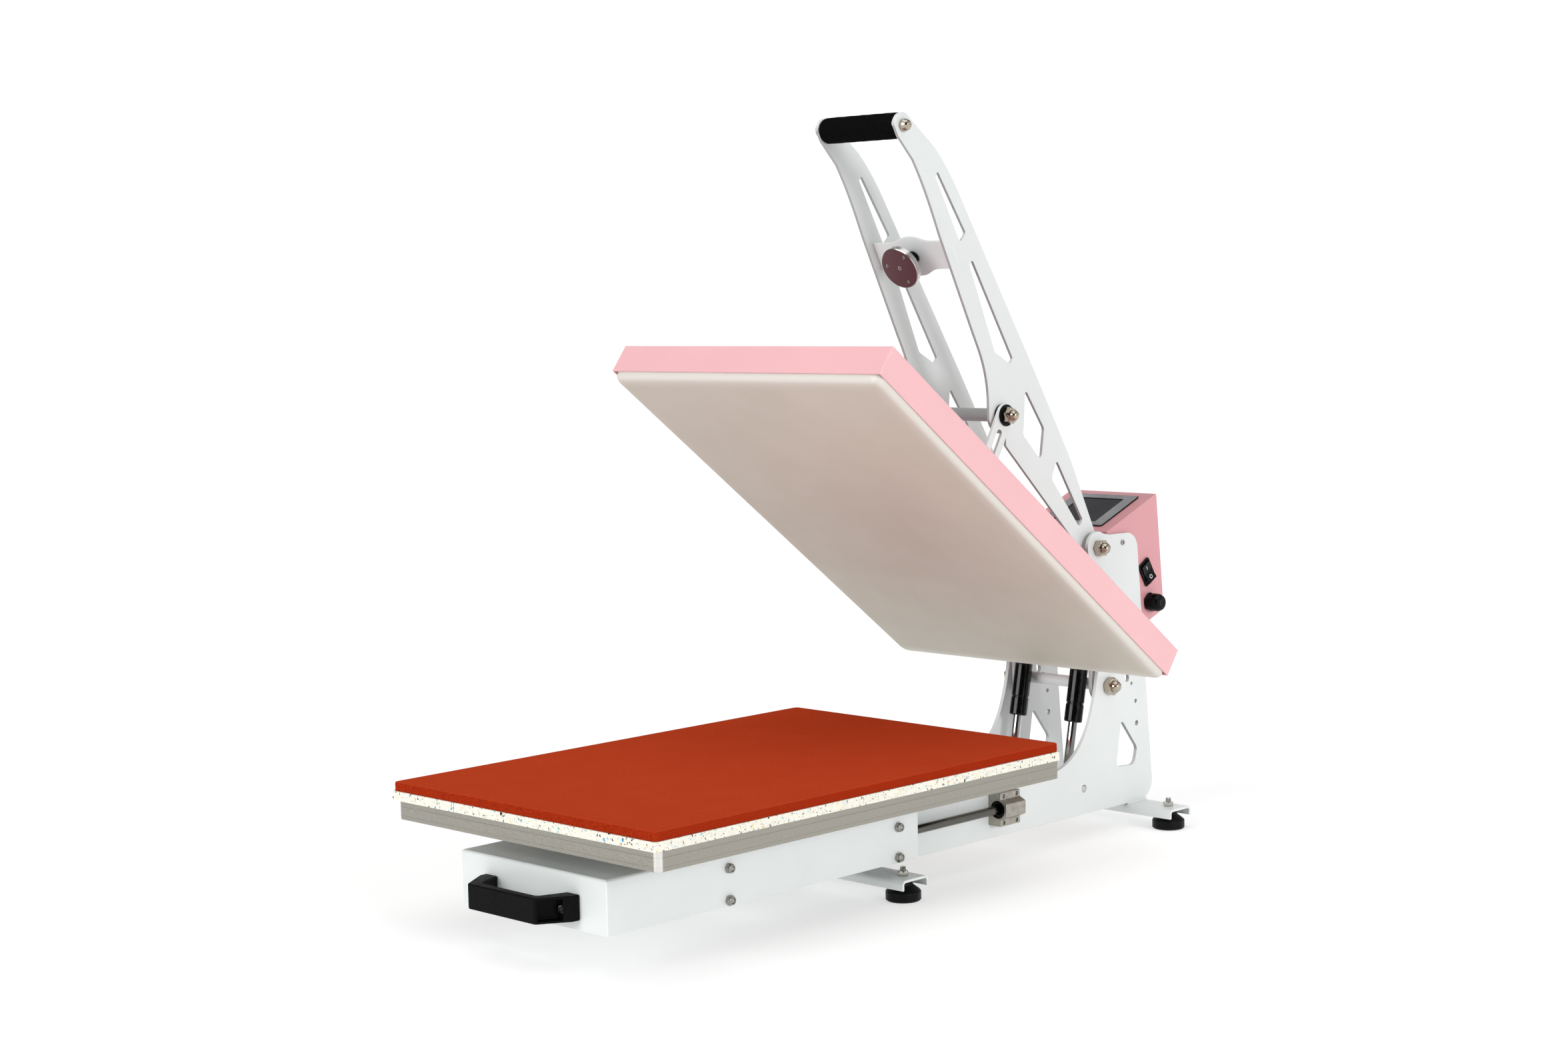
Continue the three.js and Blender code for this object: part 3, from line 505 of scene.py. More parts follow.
def silicone_sheet():
    """Red sponge rubber: a smooth mottled skin on top, open pits on the cut sides, with painted shade
    darkening the pits where they dip.
    """
    colour = (0.53, 0.058, 0.018)
    side_colour = (0.41, 0.028, 0.006)
    m = Shade("silicone_sheet", colour, 0.8, Specular_IOR_Level=0.0)
    wall = m.spread(m.maths("ABSOLUTE", m.surface()["Z"]), 0.75, 0.45)
    tone = m.shades(m.patches(18, 5, 0.6), colour, 0.96, 1.04)
    tone = m.mix(m.spread(m.noise(620, 3, 0.75), 0.4, 0.62, 0.0, 0.55), tone, tint(colour, 0.8))
    tone = m.mix(m.spread(m.noise(1500, 2), 0.4, 0.72, 0.0, 0.35), tone, tint(colour, 0.62))
    tone = m.mix(m.product(wall, 0.8), tone, side_colour)
    pit = m.spread(m.noise(1350, 3, 0.65), 0.64, 0.5)
    # Painted shade: the cut sides darkened where the pits dip.
    pit_shade = m.product(wall, m.maths("SUBTRACT", 1.0, pit))
    m.drive("Base Color", m.mix(m.product(pit_shade, 0.7), tone, tint(colour, 0.3)))
    m.drive("Roughness", m.spread(wall, 0, 1, 0.55, 0.85))
    m.bump(m.noise(800, 3, 0.7), 0.00018, 0.5)
    m.bump(m.product(pit, wall), 0.0005, 0.8)
    return m.material


def flecked_foam():
    """Cream sponge pressed from crumbs, with coloured flecks of several sizes."""
    cream = (0.84, 0.82, 0.72)
    ochre = (0.93, 0.80, 0.42)
    m = Shade("flecked_foam", cream, 0.85)
    wobble = m.noise(380, output="Color")
    shift = m.node("ShaderNodeVectorMath", {0: wobble, 1: (0.0045,) * 3}, operation="MULTIPLY").outputs[0]
    warped = m.node("ShaderNodeVectorMath", {0: m.coords, 1: shift}, operation="ADD").outputs[0]
    colour = m.shades(m.spread(m.noise(240, 3, 0.6), 0.35, 0.65), cream, 0.94, 1.06)
    colour = m.mix(m.spread(m.noise(150, 2), 0.64, 0.75, 0, 0.5), colour, ochre)
    fleck_sizes = (
        (150, 0.30, [(0.74, (0.012, 0.013, 0.016)), (0.82, (0.07, 0.34, 0.62)), (0.87, (0.86, 0.60, 0.14)),
                     (0.92, (0.85, 0.42, 0.24)), (0.96, (0.18, 0.50, 0.42))]),
        (290, 0.35, [(0.70, (0.014, 0.014, 0.018)), (0.83, (0.14, 0.46, 0.74)), (0.89, (0.80, 0.62, 0.24)),
                     (0.94, (0.80, 0.48, 0.34)), (0.97, (0.25, 0.25, 0.27))]),
        (560, 0.36, [(0.76, (0.03, 0.03, 0.035)), (0.88, (0.25, 0.48, 0.66)), (0.95, (0.78, 0.62, 0.36))]),
    )
    for scale, size, stops in fleck_sizes:
        first, dark = stops[0]
        cell = m.cells(scale, warped)
        chance = m.node("ShaderNodeSeparateColor", {"Color": cell["Color"]}).outputs["Red"]
        inside = m.spread(cell["Distance"], size, size - 0.05)
        chosen = m.spread(chance, first - 0.0005, first)
        fleck = m.steps(chance, [(0.0, dark), *stops])
        colour = m.mix(m.product(inside, chosen), colour, fleck)
    m.drive("Base Color", colour)
    m.bump(m.noise(900, 3, 0.65), 0.0004, 0.5)
    m.bump(m.noise(220, 2), 0.0004, 0.3)
    return m.material


def extruded_aluminium():
    """Mill-finish extrusion: fine die lines along its length, a few scuffs, and a painted highlight on the
    front corners.
    """
    colour = (0.42, 0.402, 0.355)
    corner_highlight_colour = (0.86, 0.85, 0.82)
    m = Shade("extruded_aluminium", colour, 0.4, 1.0, Anisotropic=0.35)
    lines = m.noise(1.0, 3, 0.7, m.stretched((9, 9, 2600)))
    broad = m.noise(1.0, 2, 0.5, m.stretched((3, 3, 420)))
    tone = m.shades(m.spread(lines, 0.3, 0.7), colour, 0.9, 1.1)
    tone = m.mix(m.spread(m.noise(1100, 3, 0.75), 0.4, 0.6), tone, tint(colour, 0.68))
    tone = m.mix(m.spread(broad, 0.35, 0.65, 0, 0.55), tone, tint(colour, 0.86))
    placed = m.parts(m.coords)
    # Painted highlight: a pale band on the two front corners.
    across = m.spread(m.maths("ABSOLUTE", placed["X"]), 0.1932, 0.1946)
    front = m.spread(placed["Y"], (9.8 + Y_SHIFT) * 0.001, (8.2 + Y_SHIFT) * 0.001)
    tone = m.mix(m.product(m.product(across, front), 0.8), tone, corner_highlight_colour)
    scuff = m.spread(m.noise(90, 4, 0.7), 0.62, 0.8, 0, 0.5)
    m.drive("Base Color", m.mix(scuff, tone, tint(colour, 1.25)))
    m.drive("Roughness", m.spread(lines, 0.3, 0.7, 0.34, 0.52))
    m.bump(lines, 0.00008, 0.45)
    return m.material


def cast_aluminium():
    """Die casting: soft mottling and a fine grain."""
    colour = (0.39, 0.37, 0.325)
    m = Shade("cast_aluminium", colour, 0.42, 1.0)
    mottle = m.patches(160, 4, 0.6)
    m.drive("Base Color", m.shades(mottle, colour, 0.8, 1.16))
    m.drive("Roughness", m.patches(600, 3, 0.6, 0.33, 0.52))
    m.bump(m.noise(1700, 3, 0.6), 0.00007, 0.6)
    return m.material


def polished_metal(name, colour, roughness, lines=0.0, axis=(2400, 40, 40)):
    """Plated or ground metal: faint smears, and grinding lines where lines is above 0."""
    m = Shade(name, colour, roughness, 1.0)
    smear = m.noise(60, 4, 0.6)
    m.drive("Roughness", m.spread(smear, 0.3, 0.75, roughness, roughness + 0.07))
    m.drive("Base Color", m.mix(m.spread(smear, 0.3, 0.8), colour, tint(colour, 0.9)))
    if lines:
        m.bump(m.noise(1.0, 2, 0.6, m.stretched(axis)), 0.00005, lines)
    return m.material


def black_polymer(name, roughness, grain, depth, value, gloss=0.25):
    """Moulded plastic, rubber or enamel in a near-neutral tone."""
    colour = (value, value, value * 1.04)
    m = Shade(name, colour, roughness, Specular_IOR_Level=gloss)
    cloud = m.patches(30, 4)
    m.drive("Base Color", m.shades(cloud, colour, 0.8, 1.35))
    m.drive("Roughness", m.patches(200, 3, 0.5, roughness - 0.06, roughness + 0.08))
    m.bump(m.noise(grain, 3, 0.6), depth, 0.6)
    return m.material


def grip_foam():
    """Closed-cell foam tube: fine dimples, gently uneven."""
    colour = (0.0035, 0.0035, 0.0038)
    m = Shade("grip_foam", colour, 0.95, Specular_IOR_Level=0.02)
    speckle = m.spread(m.noise(900, 3), 0.35, 0.7)
    m.drive("Base Color", m.shades(speckle, colour, 0.6, 1.9))
    m.bump(m.cells(1500)["Distance"], 0.0002, 0.4)
    m.bump(m.noise(70, 3), 0.0006, 0.15)
    return m.material


def coated_cloth():
    """Glass cloth with a satin non-stick coating: plain weave, painted shade darkening it towards the
    rear-left, and painted light making its rim pale.
    """
    colour = (0.55, 0.495, 0.425)
    rear_left_shade_colour = (0.40, 0.37, 0.30)
    rim_light_colour = (0.76, 0.74, 0.70)
    m = Shade("coated_glass_cloth", colour, 0.5, Sheen_Weight=0.1, Coat_Weight=0.2, Coat_Roughness=0.35)
    hinge = (0.0, (PLATEN_PIVOT[0] + Y_SHIFT) * 0.001, PLATEN_PIVOT[1] * 0.001)
    closed = m.node("ShaderNodeVectorRotate", {"Vector": m.coords, "Center": hinge, "Angle": OPEN},
                    rotation_type="X_AXIS").outputs[0]
    threads = {"Scale": 260.0, "Distortion": 0.4, "Detail": 1.0}
    across, along = [
        m.node("ShaderNodeTexWave", {"Vector": vector, **threads}, bands_direction=way).outputs["Fac"]
        for vector, way in ((m.coords, "X"), (closed, "Y"))]
    weave = m.product(across, along)
    placed = m.parts(closed)
    tone = m.shades(m.patches(5, 4, 0.6), colour, 0.95, 1.05)
    # Painted shade: darker towards the rear and the left.
    slant = m.maths("SUBTRACT", placed["Y"], m.product(m.parts(m.coords)["X"], 1.8))
    tone = m.mix(m.spread(slant, -0.35, 0.7), tone, rear_left_shade_colour)
    # Painted light: the rim on the right side, the front and the rear is made paler.
    side = m.spread(placed["X"], 0.176, 0.199)
    near = m.spread(placed["Y"], CLOTH_SPAN[0] + 0.022, CLOTH_SPAN[0] + 0.003)
    rear = m.spread(placed["Y"], CLOTH_SPAN[1] - 0.022, CLOTH_SPAN[1] - 0.003)
    rim = m.maths("POWER", m.maths("MAXIMUM", m.maths("MAXIMUM", side, near), rear), 2.2)
    tone = m.mix(m.product(rim, 0.7), tone, rim_light_colour)
    m.drive("Base Color", m.mix(m.spread(weave, 0, 1, 0.0, 0.12), tone, tint(colour, 1.25)))
    m.drive("Roughness", m.patches(25, 3, 0.5, 0.42, 0.56))
    m.bump(weave, 0.00005, 0.5)
    m.bump(m.noise(26, 2), 0.0009, 0.12)
    return m.material


def screen_glass():
    """Dark display window under clear glass."""
    m = Shade("screen_glass", (0.035, 0.033, 0.037), 0.22, Specular_IOR_Level=0.1)
    cloud = m.patches(25, 3)
    m.drive("Base Color", m.mix(cloud, (0.03, 0.028, 0.032), (0.042, 0.04, 0.044)))
    m.bump(m.noise(12, 2), 0.0003, 0.05)
    return m.material


# Each finish is a material and the record's slot that it stands for.
WHITE = powder_coat("white_powder_coat", (0.752, 0.785, 0.778)), "white_paint"
# Slightly darker white for the cut sheet parts, with painted shade on their downward edges.
WHITE_EDGE_SHADE = powder_coat("white_coat_on_cut_sheet", (0.725, 0.757, 0.75), cut=True), "white_paint"
PINK = powder_coat("pink_powder_coat", (0.845, 0.475, 0.50), 0.42), "pink_paint"
# Darker copy of the pink for the control box, which sits further back: painted shade.
PINK_SHADED = powder_coat("pink_box_coat", (0.685, 0.315, 0.34), 0.42), "pink_paint"
GREY = powder_coat("grey_paint", (0.34, 0.35, 0.35)), "grey_paint"
MARK = powder_coat("white_print", (0.75, 0.75, 0.75)), "white_paint"
SILICONE = silicone_sheet(), "silicone"
FOAM = flecked_foam(), "foam"
GRIP_FOAM = grip_foam(), "grip_foam"
CLOTH = coated_cloth(), "cloth"
SCREEN = screen_glass(), "screen"
EXTRUSION = extruded_aluminium(), "aluminium"
CAST = cast_aluminium(), "aluminium"
CHROME = polished_metal("hard_chrome", (0.56, 0.56, 0.555), 0.05, 0.15, (40, 900, 40)), "chrome"
# Much darker copy of the chrome for the guide rods: painted shade for their dim reflections under the bed.
GUIDE_SHADED_CHROME = polished_metal("guide_shaft_chrome", (0.125, 0.122, 0.112), 0.1, 0.15, (40, 900, 40)), "chrome"
NICKEL = polished_metal("bright_nickel", (0.47, 0.41, 0.335), 0.08), "nickel"
STEEL = polished_metal("zinc_plated_steel", (0.50, 0.49, 0.455), 0.18, 0.3), "steel"
DARK_ZINC = polished_metal("dark_zinc", (0.36, 0.35, 0.33), 0.2, 0.3), "steel"
GROUND = polished_metal("ground_steel", (0.60, 0.585, 0.575), 0.2, 0.4, (1500, 60, 60)), "steel"
# Dark pink steel for the disc's face: painted reflection of the pink cover.
PINK_REFLECTION_STEEL = polished_metal("burnished_steel", (0.15, 0.085, 0.092), 0.24, 0.3, (1500, 60, 60))
RUBBER = black_polymer("black_rubber", 0.36, 700, 0.00006, 0.002, 0.13), "black_rubber"
BUSHING = RUBBER[0], "black_plastic"
PLASTIC = black_polymer("textured_black_plastic", 0.5, 1300, 0.0001, 0.0022, 0.07), "black_plastic"
SMOOTH_BLACK = black_polymer("smooth_black_plastic", 0.24, 400, 0.00002, 0.0018, 0.13), "black_plastic"
BEZEL = black_polymer("grey_overlay", 0.42, 1600, 0.00003, 0.235), "bezel"
GLOSS_PAINT = black_polymer("gloss_black_paint", 0.12, 260, 0.00002, 0.0015, 0.36), "black_paint"
GLOSS_SCREW = GLOSS_PAINT[0], "black_plastic"
SHADOW = black_polymer("shadowed_hole", 0.8, 400, 0.00002, 0.003, 0.05), "black_plastic"
WIPER = SHADOW[0], "black_rubber"


# ---------------- fasteners
def cap_nut(across, seat, turn):
    """Acorn nut on +X: chamfered hexagon, neck and polished dome."""
    dome_share, neck = 0.76, 0.6
    top = seat + 0.5 * across
    r = 0.5 * across * dome_share
    dome = [(0, top - 1), (r, top - 1)]
    dome += [(x, top + neck + h) for x, h in (polar(r, a) for a in range(0, 90, 9))]
    dome += [(0, top + neck + r)]
    return merged(hex_body(across, seat, top, turn=turn), turned(dome, 40, "X"))


def stud(radius, low, high, axis="Z", at=(0, 0, 0), pitch=1.2):
    """Threaded end: shallow grooves up to a chamfered tip."""
    profile = [(0, low), (radius, low)]
    h = low + pitch
    while h < high - pitch:
        profile += [(radius, h - pitch * 0.35), (radius - 0.45, h)]
        h += pitch
    profile += [(radius, high - 0.9), (radius - 0.8, high), (0, high)]
    return turned(profile, 24, axis, at)


def lock_nut(across, low, high, axis, at, turn):
    """Hexagon nut with a rounded collar over its nylon insert."""
    body = hex_body(across, low, low + (high - low) * 0.7, axis, at, turn)
    r = across * 0.46
    foot = low + (high - low) * 0.62
    collar = [(r * 0.55, foot), (r, foot), (r, high, 0.9), (r * 0.62, high, 0.3), (r * 0.62, high - 0.8)]
    return merged(body, turned(collar, 32, axis, at, closed=True))


def pan_head(radius, low, high, axis="X", at=(0, 0, 0)):
    """Domed screw head with a round recess."""
    floor = high - 0.8
    profile = [(0, low), (radius, low), (radius, high - 0.5, 0.6), (radius * 0.5, high, 0.3)]
    profile += [(radius * 0.34, high - 0.1), (radius * 0.3, floor), (0, floor)]
    return turned(profile, 28, axis, at)


def pin(tip, half, radius, shoulder):
    """Plain pin across the machine with tapered ends."""
    lower = [(0, -half), (tip, -half, 0.4), (radius, -shoulder)]
    return turned(lower + [(radius, shoulder), (tip, half, 0.4), (0, half)], 40, "X")


def pivot_sleeve(name, outer, inner, end, body, finish, node, where):
    """Spacer tube between two arms."""
    mesh = turned([(inner, -end), (outer, -end, 0.4), (outer, end, 0.4), (inner, end)], 48, "X", closed=True)
    make(name, mesh, body, finish, node, where)


# ---------------- base
def side_plates():
    ay, az = HANDLE_PIVOT
    outer = [(244, 27)] + arc(922, 51, 24, -90, 5.16) + arc(900, 337, 20.5, 5.16, 90) + [(866, 358)]
    outer += arc(ay, az, 19.5, 57.3, 180) + [(843, 215)]
    outer += bezier((843, 215), (832, 125), (800, 88), (745, 84.5), 30)
    outer += arc(244, 76.5, 8, 90, 180) + arc(244, 35, 8, 180, 270)[:-1]
    holes = [
        rounded([(885, 132, 3), (874.5, 75, 6), (910.5, 73, 9), (916.5, 93, 9)]),
        rounded([(894, 176, 3.7), (901.6, 176, 3.7), (897, 214, 3.7), (889.4, 214, 3.7)]),
        circle(914.2, 150.5, 2.4, 20),
        circle(915.6, 123.2, 3.2, 24),
        circle(906.2, 172.9, 1.9, 16),
        circle(*STRUT_FOOT, 4.4, 28),
        circle(*HANDLE_PIVOT, PIVOT_HOLE),
        circle(*PLATEN_PIVOT, PIVOT_HOLE),
    ]
    face = SIDE_SHEET_X[1] + 0.1
    for side, where in SIDES:
        sheet = plate(outer, holes, *SIDE_SHEET_X, 0.7)
        make(f"side_plate_{side}", sheet, "base", WHITE_EDGE_SHADE, f"base_side_plate_{side}", where)
        screw = pan_head(3.1, face, 73.2, at=(0, 890, 346.5))
        make(f"side_plate_screw_{side}", screw, "base", DARK_ZINC, where=where)
        bead = turned([(0, -1), (1.5, 0, 0.9), (1.7, 36, 0.9), (0, 37)], 16, "Y", (face, 896.5, 27.2))
        make(f"weld_bead_{side}", bead, "base", WHITE, where=where)


def foot_bars():
    """Channels across the machine, each on two rubber feet with levelling studs."""
    half, depth, sheet = 21, 11.6, 3
    foot = [(0, 0), (17.6, 0, 0.8), (19.4, 1.6, 0.8), (19.4, 10.4, 1.6), (17.4, 12.4, 1.5), (11, 17, 2),
            (9.8, 20.6, 0.6), (4, 20.9), (4, 22.9), (0, 22.9)]
    for end, y in (("front", 434.5), ("rear", 914.5)):
        section = channel(y - half, y + half, FOOT_TOP - depth, FOOT_TOP, sheet, 1.4, 2.6, 5.6)
        make(f"foot_channel_{end}", plate(section, [], -136, 136, 0.5), "base", WHITE, f"foot_bar_{end}")
        for side, x in (("right", 118), ("left", -118)):
            at = (x, y, 0)
            make(f"rubber_foot_{end}_{side}", turned(foot, 56, at=at), "base", RUBBER,
                 f"levelling_foot_{end}_{side}")
            fixings = merged(stud(3.3, 20.6, 36.8, at=at), hex_body(10.8, 26.9, 32.3, "Z", at, 20))
            make(f"foot_stud_{end}_{side}", fixings, "base", STEEL, sharp=24)


def bearing_blocks():
    """Linear bearing blocks with stepped shoulders, four screws each and a sealed bore."""
    inner, outer = 71.3, 97.3
    half, screw_reach = 19.5, 15.3
    low, high = ROD[1] - half, ROD[1] + half
    waist = inner + 17.5
    section = rounded([
        (inner, low, 0.6), (waist, low, 0.9), (waist, low + 8, 1.2), (outer, low + 12, 1.6),
        (outer, high - 12, 1.6), (waist, high - 8, 1.2), (waist, high, 0.9), (inner, high, 0.6),
    ])
    spots = [(waist, y, z) for y in (640, 663) for z in (ROD[1] - screw_reach, ROD[1] + screw_reach)]
    seal = [(5.25, 2), (6.2, 1.2, 0.3), (8.8, 1, 0.4), (9.4, 0.2, 0.3), (10, 0.2, 0.3), (10.1, 34.5),
            (9.8, 35.3, 0.4), (5.9, 34.9, 0.3), (5.25, 34.3)]
    for side, where in SIDES:
        body = plate(section, [circle(*ROD, 10.2, 48)], *BLOCK_Y, 0.5, "Y")
        wells = [cylinder(2.5, -3, 3, 24, "X", spot) for spot in spots]
        make(f"linear_block_{side}", boolean(body, wells), "base", CAST, f"bearing_block_{side}", where)
        screws = [pan_head(2.35, -2.6, -0.6, at=spot) for spot in spots]
        make(f"block_screws_{side}", merged(*screws), "base", DARK_ZINC, where=where)
        ring = turned(seal, 56, "Y", (ROD[0], BLOCK_Y[0], ROD[1]), closed=True)
        make(f"rod_seal_{side}", ring, "base", SMOOTH_BLACK, where=where)


def nutted_axle(node, half, seat, across, turn, body, point):
    """Pivot shaft with an acorn nut on each end."""
    nuts = both_sides(cap_nut(across, seat, turn))
    axle = merged(cylinder(4.9, -half, half, axis="X"), *nuts)
    make(f"{node}_and_nuts", axle, body, NICKEL, node, move((0, *point)), sharp=24)


def axles():
    nutted_axle("handle_axle", 72.5, 71.5, 18.2, 30, "base", HANDLE_PIVOT)
    nutted_axle("platen_axle", 72.5, 71.5, 19.4, 3, "base", PLATEN_PIVOT)
    foot = pin(3.3, 70.9, 4.1, 70.2)
    make("strut_pin_low", foot, "base", GROUND, "strut_base_pin", move((0, *STRUT_FOOT)))


def cross_tubes():
    """Square tubes that tie the side plates together."""
    low, high, wall, half = 36, 66, 2.5, 65.6
    for end, (y0, y1) in (("front", (262, 292)), ("rear", (700, 730))):
        bore = panel(y0 + wall, y1 - wall, low + wall, high - wall, 1.5)
        tube = plate(panel(y0, y1, low, high, 4), [bore], -half, half, 0.4)
        make(f"cross_tube_{end}", tube, "base", WHITE, f"cross_bar_{end}")


# ---------------- control box
def control_box():
    """Folded box with inset cheeks; its back has four screws and a row of vents."""
    outline = rounded([(876, 300, 8), (889, 262, 6), (949.7, 245, 4), (972, 253, 4), (979, 272, 3),
                       (967, 400.4, 1.6), (867, 361, 1.6)])
    make("control_box_wrap", plate(outline, [], -63.6, 63.6, 0.3), "base", PINK_SHADED, "control_box")
    for side, where in SIDES:
        cheek = plate(outline, [], 63.75, 65.2, 0.55)
        make(f"control_box_cheek_{side}", cheek, "base", PINK_SHADED, where=where)
    back = move((0, 979.2, 278)) @ rotate(5.3, "X")
    heads = [pan_head(3.2, -0.6, 1.5, "Y", (x, 0, z)) for x in (-54, 54) for z in (6, 106)]
    make("control_box_screws", merged(*heads), "base", STEEL, where=back)
    # The vents are thin dark slabs on the back: painted shade standing for the open slots.
    slots = [bevelled_box((-26 + 8 * i, -22.4 + 8 * i), (-0.35, 0.25), (20, 62), 0.3) for i in range(7)]
    make("control_box_vents", merged(*slots), "base", SHADOW, where=back)


def display():
    """Flat display in the box's sloping front: gasket, grey overlay, black lip and glass."""
    def layer(name, outer, holes, low, high, bevel, finish, node=None):
        make(name, plate(outer, holes, low, high, bevel, "Z"), "base", finish, node, FACE)

    rim = panel(-48.1, 48.1, 12.4, 93.6, 2.8)
    window = panel(-33.4, 33.4, 20.6, 83.4, 1)
    opening = panel(-32, 32, 22, 82, 0.6)
    layer("display_gasket", panel(-49, 49, 11.5, 94.5, 3.5), [rim], 0.2, 1.5, 0.3, SMOOTH_BLACK)
    layer("display_overlay", panel(-47.9, 47.9, 12.6, 93.4, 2.6), [window], 0.2, 2.2, 0.25, BEZEL,
          "display_bezel")
    layer("display_lip", panel(-33.3, 33.3, 20.7, 83.3, 1), [opening], 0.3, 1.9, 0.2, SMOOTH_BLACK)
    layer("display_glass", panel(-31.9, 31.9, 22.1, 81.9, 0.5), [], 0.3, 1.5, 0.15, SCREEN, "display_screen")


def power_switch():
    """Rocker switch: a bowed rocker, marked with a stroke and a ring, in a flush surround."""
    surround = plate(panel(-11, 11, -15, 15, 2), [panel(-8.7, 8.7, -12.9, 12.9, 0.8)], 0, 2.6, 0.6)
    floor = bevelled_box((0, 1.3), (-9, 9), (-13, 13), 0.1)
    make("switch_surround", merged(surround, floor), "base", SMOOTH_BLACK, "switch_frame", SWITCH)
    lower = [(6.2 - 3.1 * t + 0.9 * t * (1 - t), -12.1 + 12.1 * t) for t in (i / 10 for i in range(10))]
    upper = [(3.1 + 1.5 * t - 0.7 * t * (1 - t), 12.1 * t) for t in (i / 10 for i in range(11))]
    rocker = plate([(3.8, -12.1)] + lower + upper + [(2, 12.1), (2, 0)], [], -8.2, 8.2, 0.35, "Y")
    make("switch_rocker", rocker, "rocker", SMOOTH_BLACK, "power_rocker", SWITCH)
    stroke = bevelled_box((-0.1, 0.12), (-0.45, 0.45), (-2.4, 2.4), 0.05)
    stroke.transform(move((3.72, 0, 6.2)) @ rotate(7, "Y"))
    ring = plate(circle(0, 0, 2.5, 32), [circle(0, 0, 1.65, 32)], -0.1, 0.12, 0.05)
    ring.transform(move((4.92, 0, -6.4)) @ rotate(-14, "Y"))
    make("switch_marks", merged(stroke, ring), "rocker", MARK, where=SWITCH)


def cable_gland():
    """Gland with a hexagon foot and a smooth, rounded cap."""
    cap = turned([(0, 5.4), (9.8, 5.4, 0.4), (11.1, 6.6, 0.8), (11.1, 9.5, 0.9), (10.6, 15.4, 3),
                  (8.4, 19.2, 2.5), (5.2, 20.3, 1.2), (4.2, 19.9, 0.3), (0, 19.7)], 56, "X")
    gland = merged(hex_body(21, 0, 5.6, turn=8), cap)
    make("gland_cap", gland, "base", SMOOTH_BLACK, "cable_gland", move((65.6, 950, 268)))


# ---------------- drawer and bed
def folded_shell(name, half, y, z, top_fold, side_fold, thickness, body, finish, node,
                 open_rear=False, where=UNMOVED):
    """Folded sheet box, open underneath: its top edges and its upright corners have their own radii."""
    bm = block((-half, half), y, z)
    middle = sum(z) / 2
    rear = sum(y) / 2
    top = [e for e in bm.edges if all(v.co.z > middle for v in e.verts)]
    if open_rear:
        top = [e for e in top if any(v.co.y < rear for v in e.verts)]
    bevel_edges(bm, top, top_fold, 6)
    upright = [e for e in bm.edges if abs(e.verts[0].co.z - e.verts[1].co.z) > (z[1] - z[0]) * 0.7
               and not (open_rear and e.verts[0].co.y > rear)]
    bevel_edges(bm, upright, side_fold, 4)
    centres = [(f, f.calc_center_median()) for f in bm.faces]
    gone = [f for f, at in centres if at.z < z[0] + 0.3 or (open_rear and at.y > y[1] - 0.3)]
    bmesh.ops.delete(bm, geom=gone, context="FACES")
    piece = make(name, welded(bm), body, finish, node, where)
    wall = piece.modifiers.new("sheet", "SOLIDIFY")
    wall.thickness = thickness * 0.001
    wall.offset = -1
    ease = piece.modifiers.new("ease", "BEVEL")
    ease.width = 0.0003
    ease.segments = 2
    ease.limit_method = "ANGLE"
    ease.angle_limit = radians(50)
    piece.modifiers.move(0, 2)


def drawer_box():
    folded_shell("drawer_shell", 111.2, (16, 467), (39.7, 95.5), 3.2, 1.6, 2, "drawer", WHITE, "drawer_box",
                 open_rear=True)
    riser = plate(panel(-80, 80, 90, 430, 3), [panel(-50, 50, 120, 400, 2)], 95.8, 133.1, 0.5, "Z")
    make("bed_riser_frame", riser, "drawer", WHITE, "bed_riser")


def drawer_handle():
    """Moulded bow handle; each slanting end has a pocket with a screw in it."""
    back, front = 15.7, -25
    low, high = 49.8, 75.8
    half = [(-72, back, 1.2), (-71.4, back - 9, 5), (-51.5, front, 5)]
    inside = [(54, back, 1.2), (43, front + 11, 6), (-43, front + 11, 6), (-54, back, 1.2)]
    outline = rounded(half + [(-x, y, r) for x, y, r in reversed(half)] + inside)
    body = plate(outline, [], low, high, 1.5, "Z")
    face = Vector((19.9, back - 9 - front)).normalized()
    out = Vector((face.y, -face.x))
    start = Vector((51.5, front)) + face * 2.6
    end = Vector((51.5, front)) + face * 28
    seat = end - out * 4.2 - face * 0.3
    pocket = [(start + out * 6, 0), (start - out * 9.6, 2.5), (end - out * 10.4, 2.5), (end + out * 6, 0)]
    wells = []
    heads = []
    for side in (-1, 1):
        corners = rounded([(side * c.x, c.y, r) for c, r in pocket])
        wells.append(plate(corners, [], low + 2.4, high - 2.4, 0.8, "Z"))
        head = turned([(0, 0), (4.9, 0), (4.9, 1.8, 1.4), (2.9, 2.7, 0.4), (2.3, 1.6), (0, 1.6)], 36, "Y")
        swing = Matrix.Rotation(side * atan2(out.x, out.y) - side * pi / 2, 4, "Z")
        head.transform(move((side * seat.x, seat.y, (low + high) / 2)) @ swing @ rotate(180, "X"))
        heads.append(head)
    make("bow_handle", boolean(body, wells), "drawer", PLASTIC, "drawer_handle")
    make("bow_handle_screws", merged(*heads), "drawer", GLOSS_SCREW)


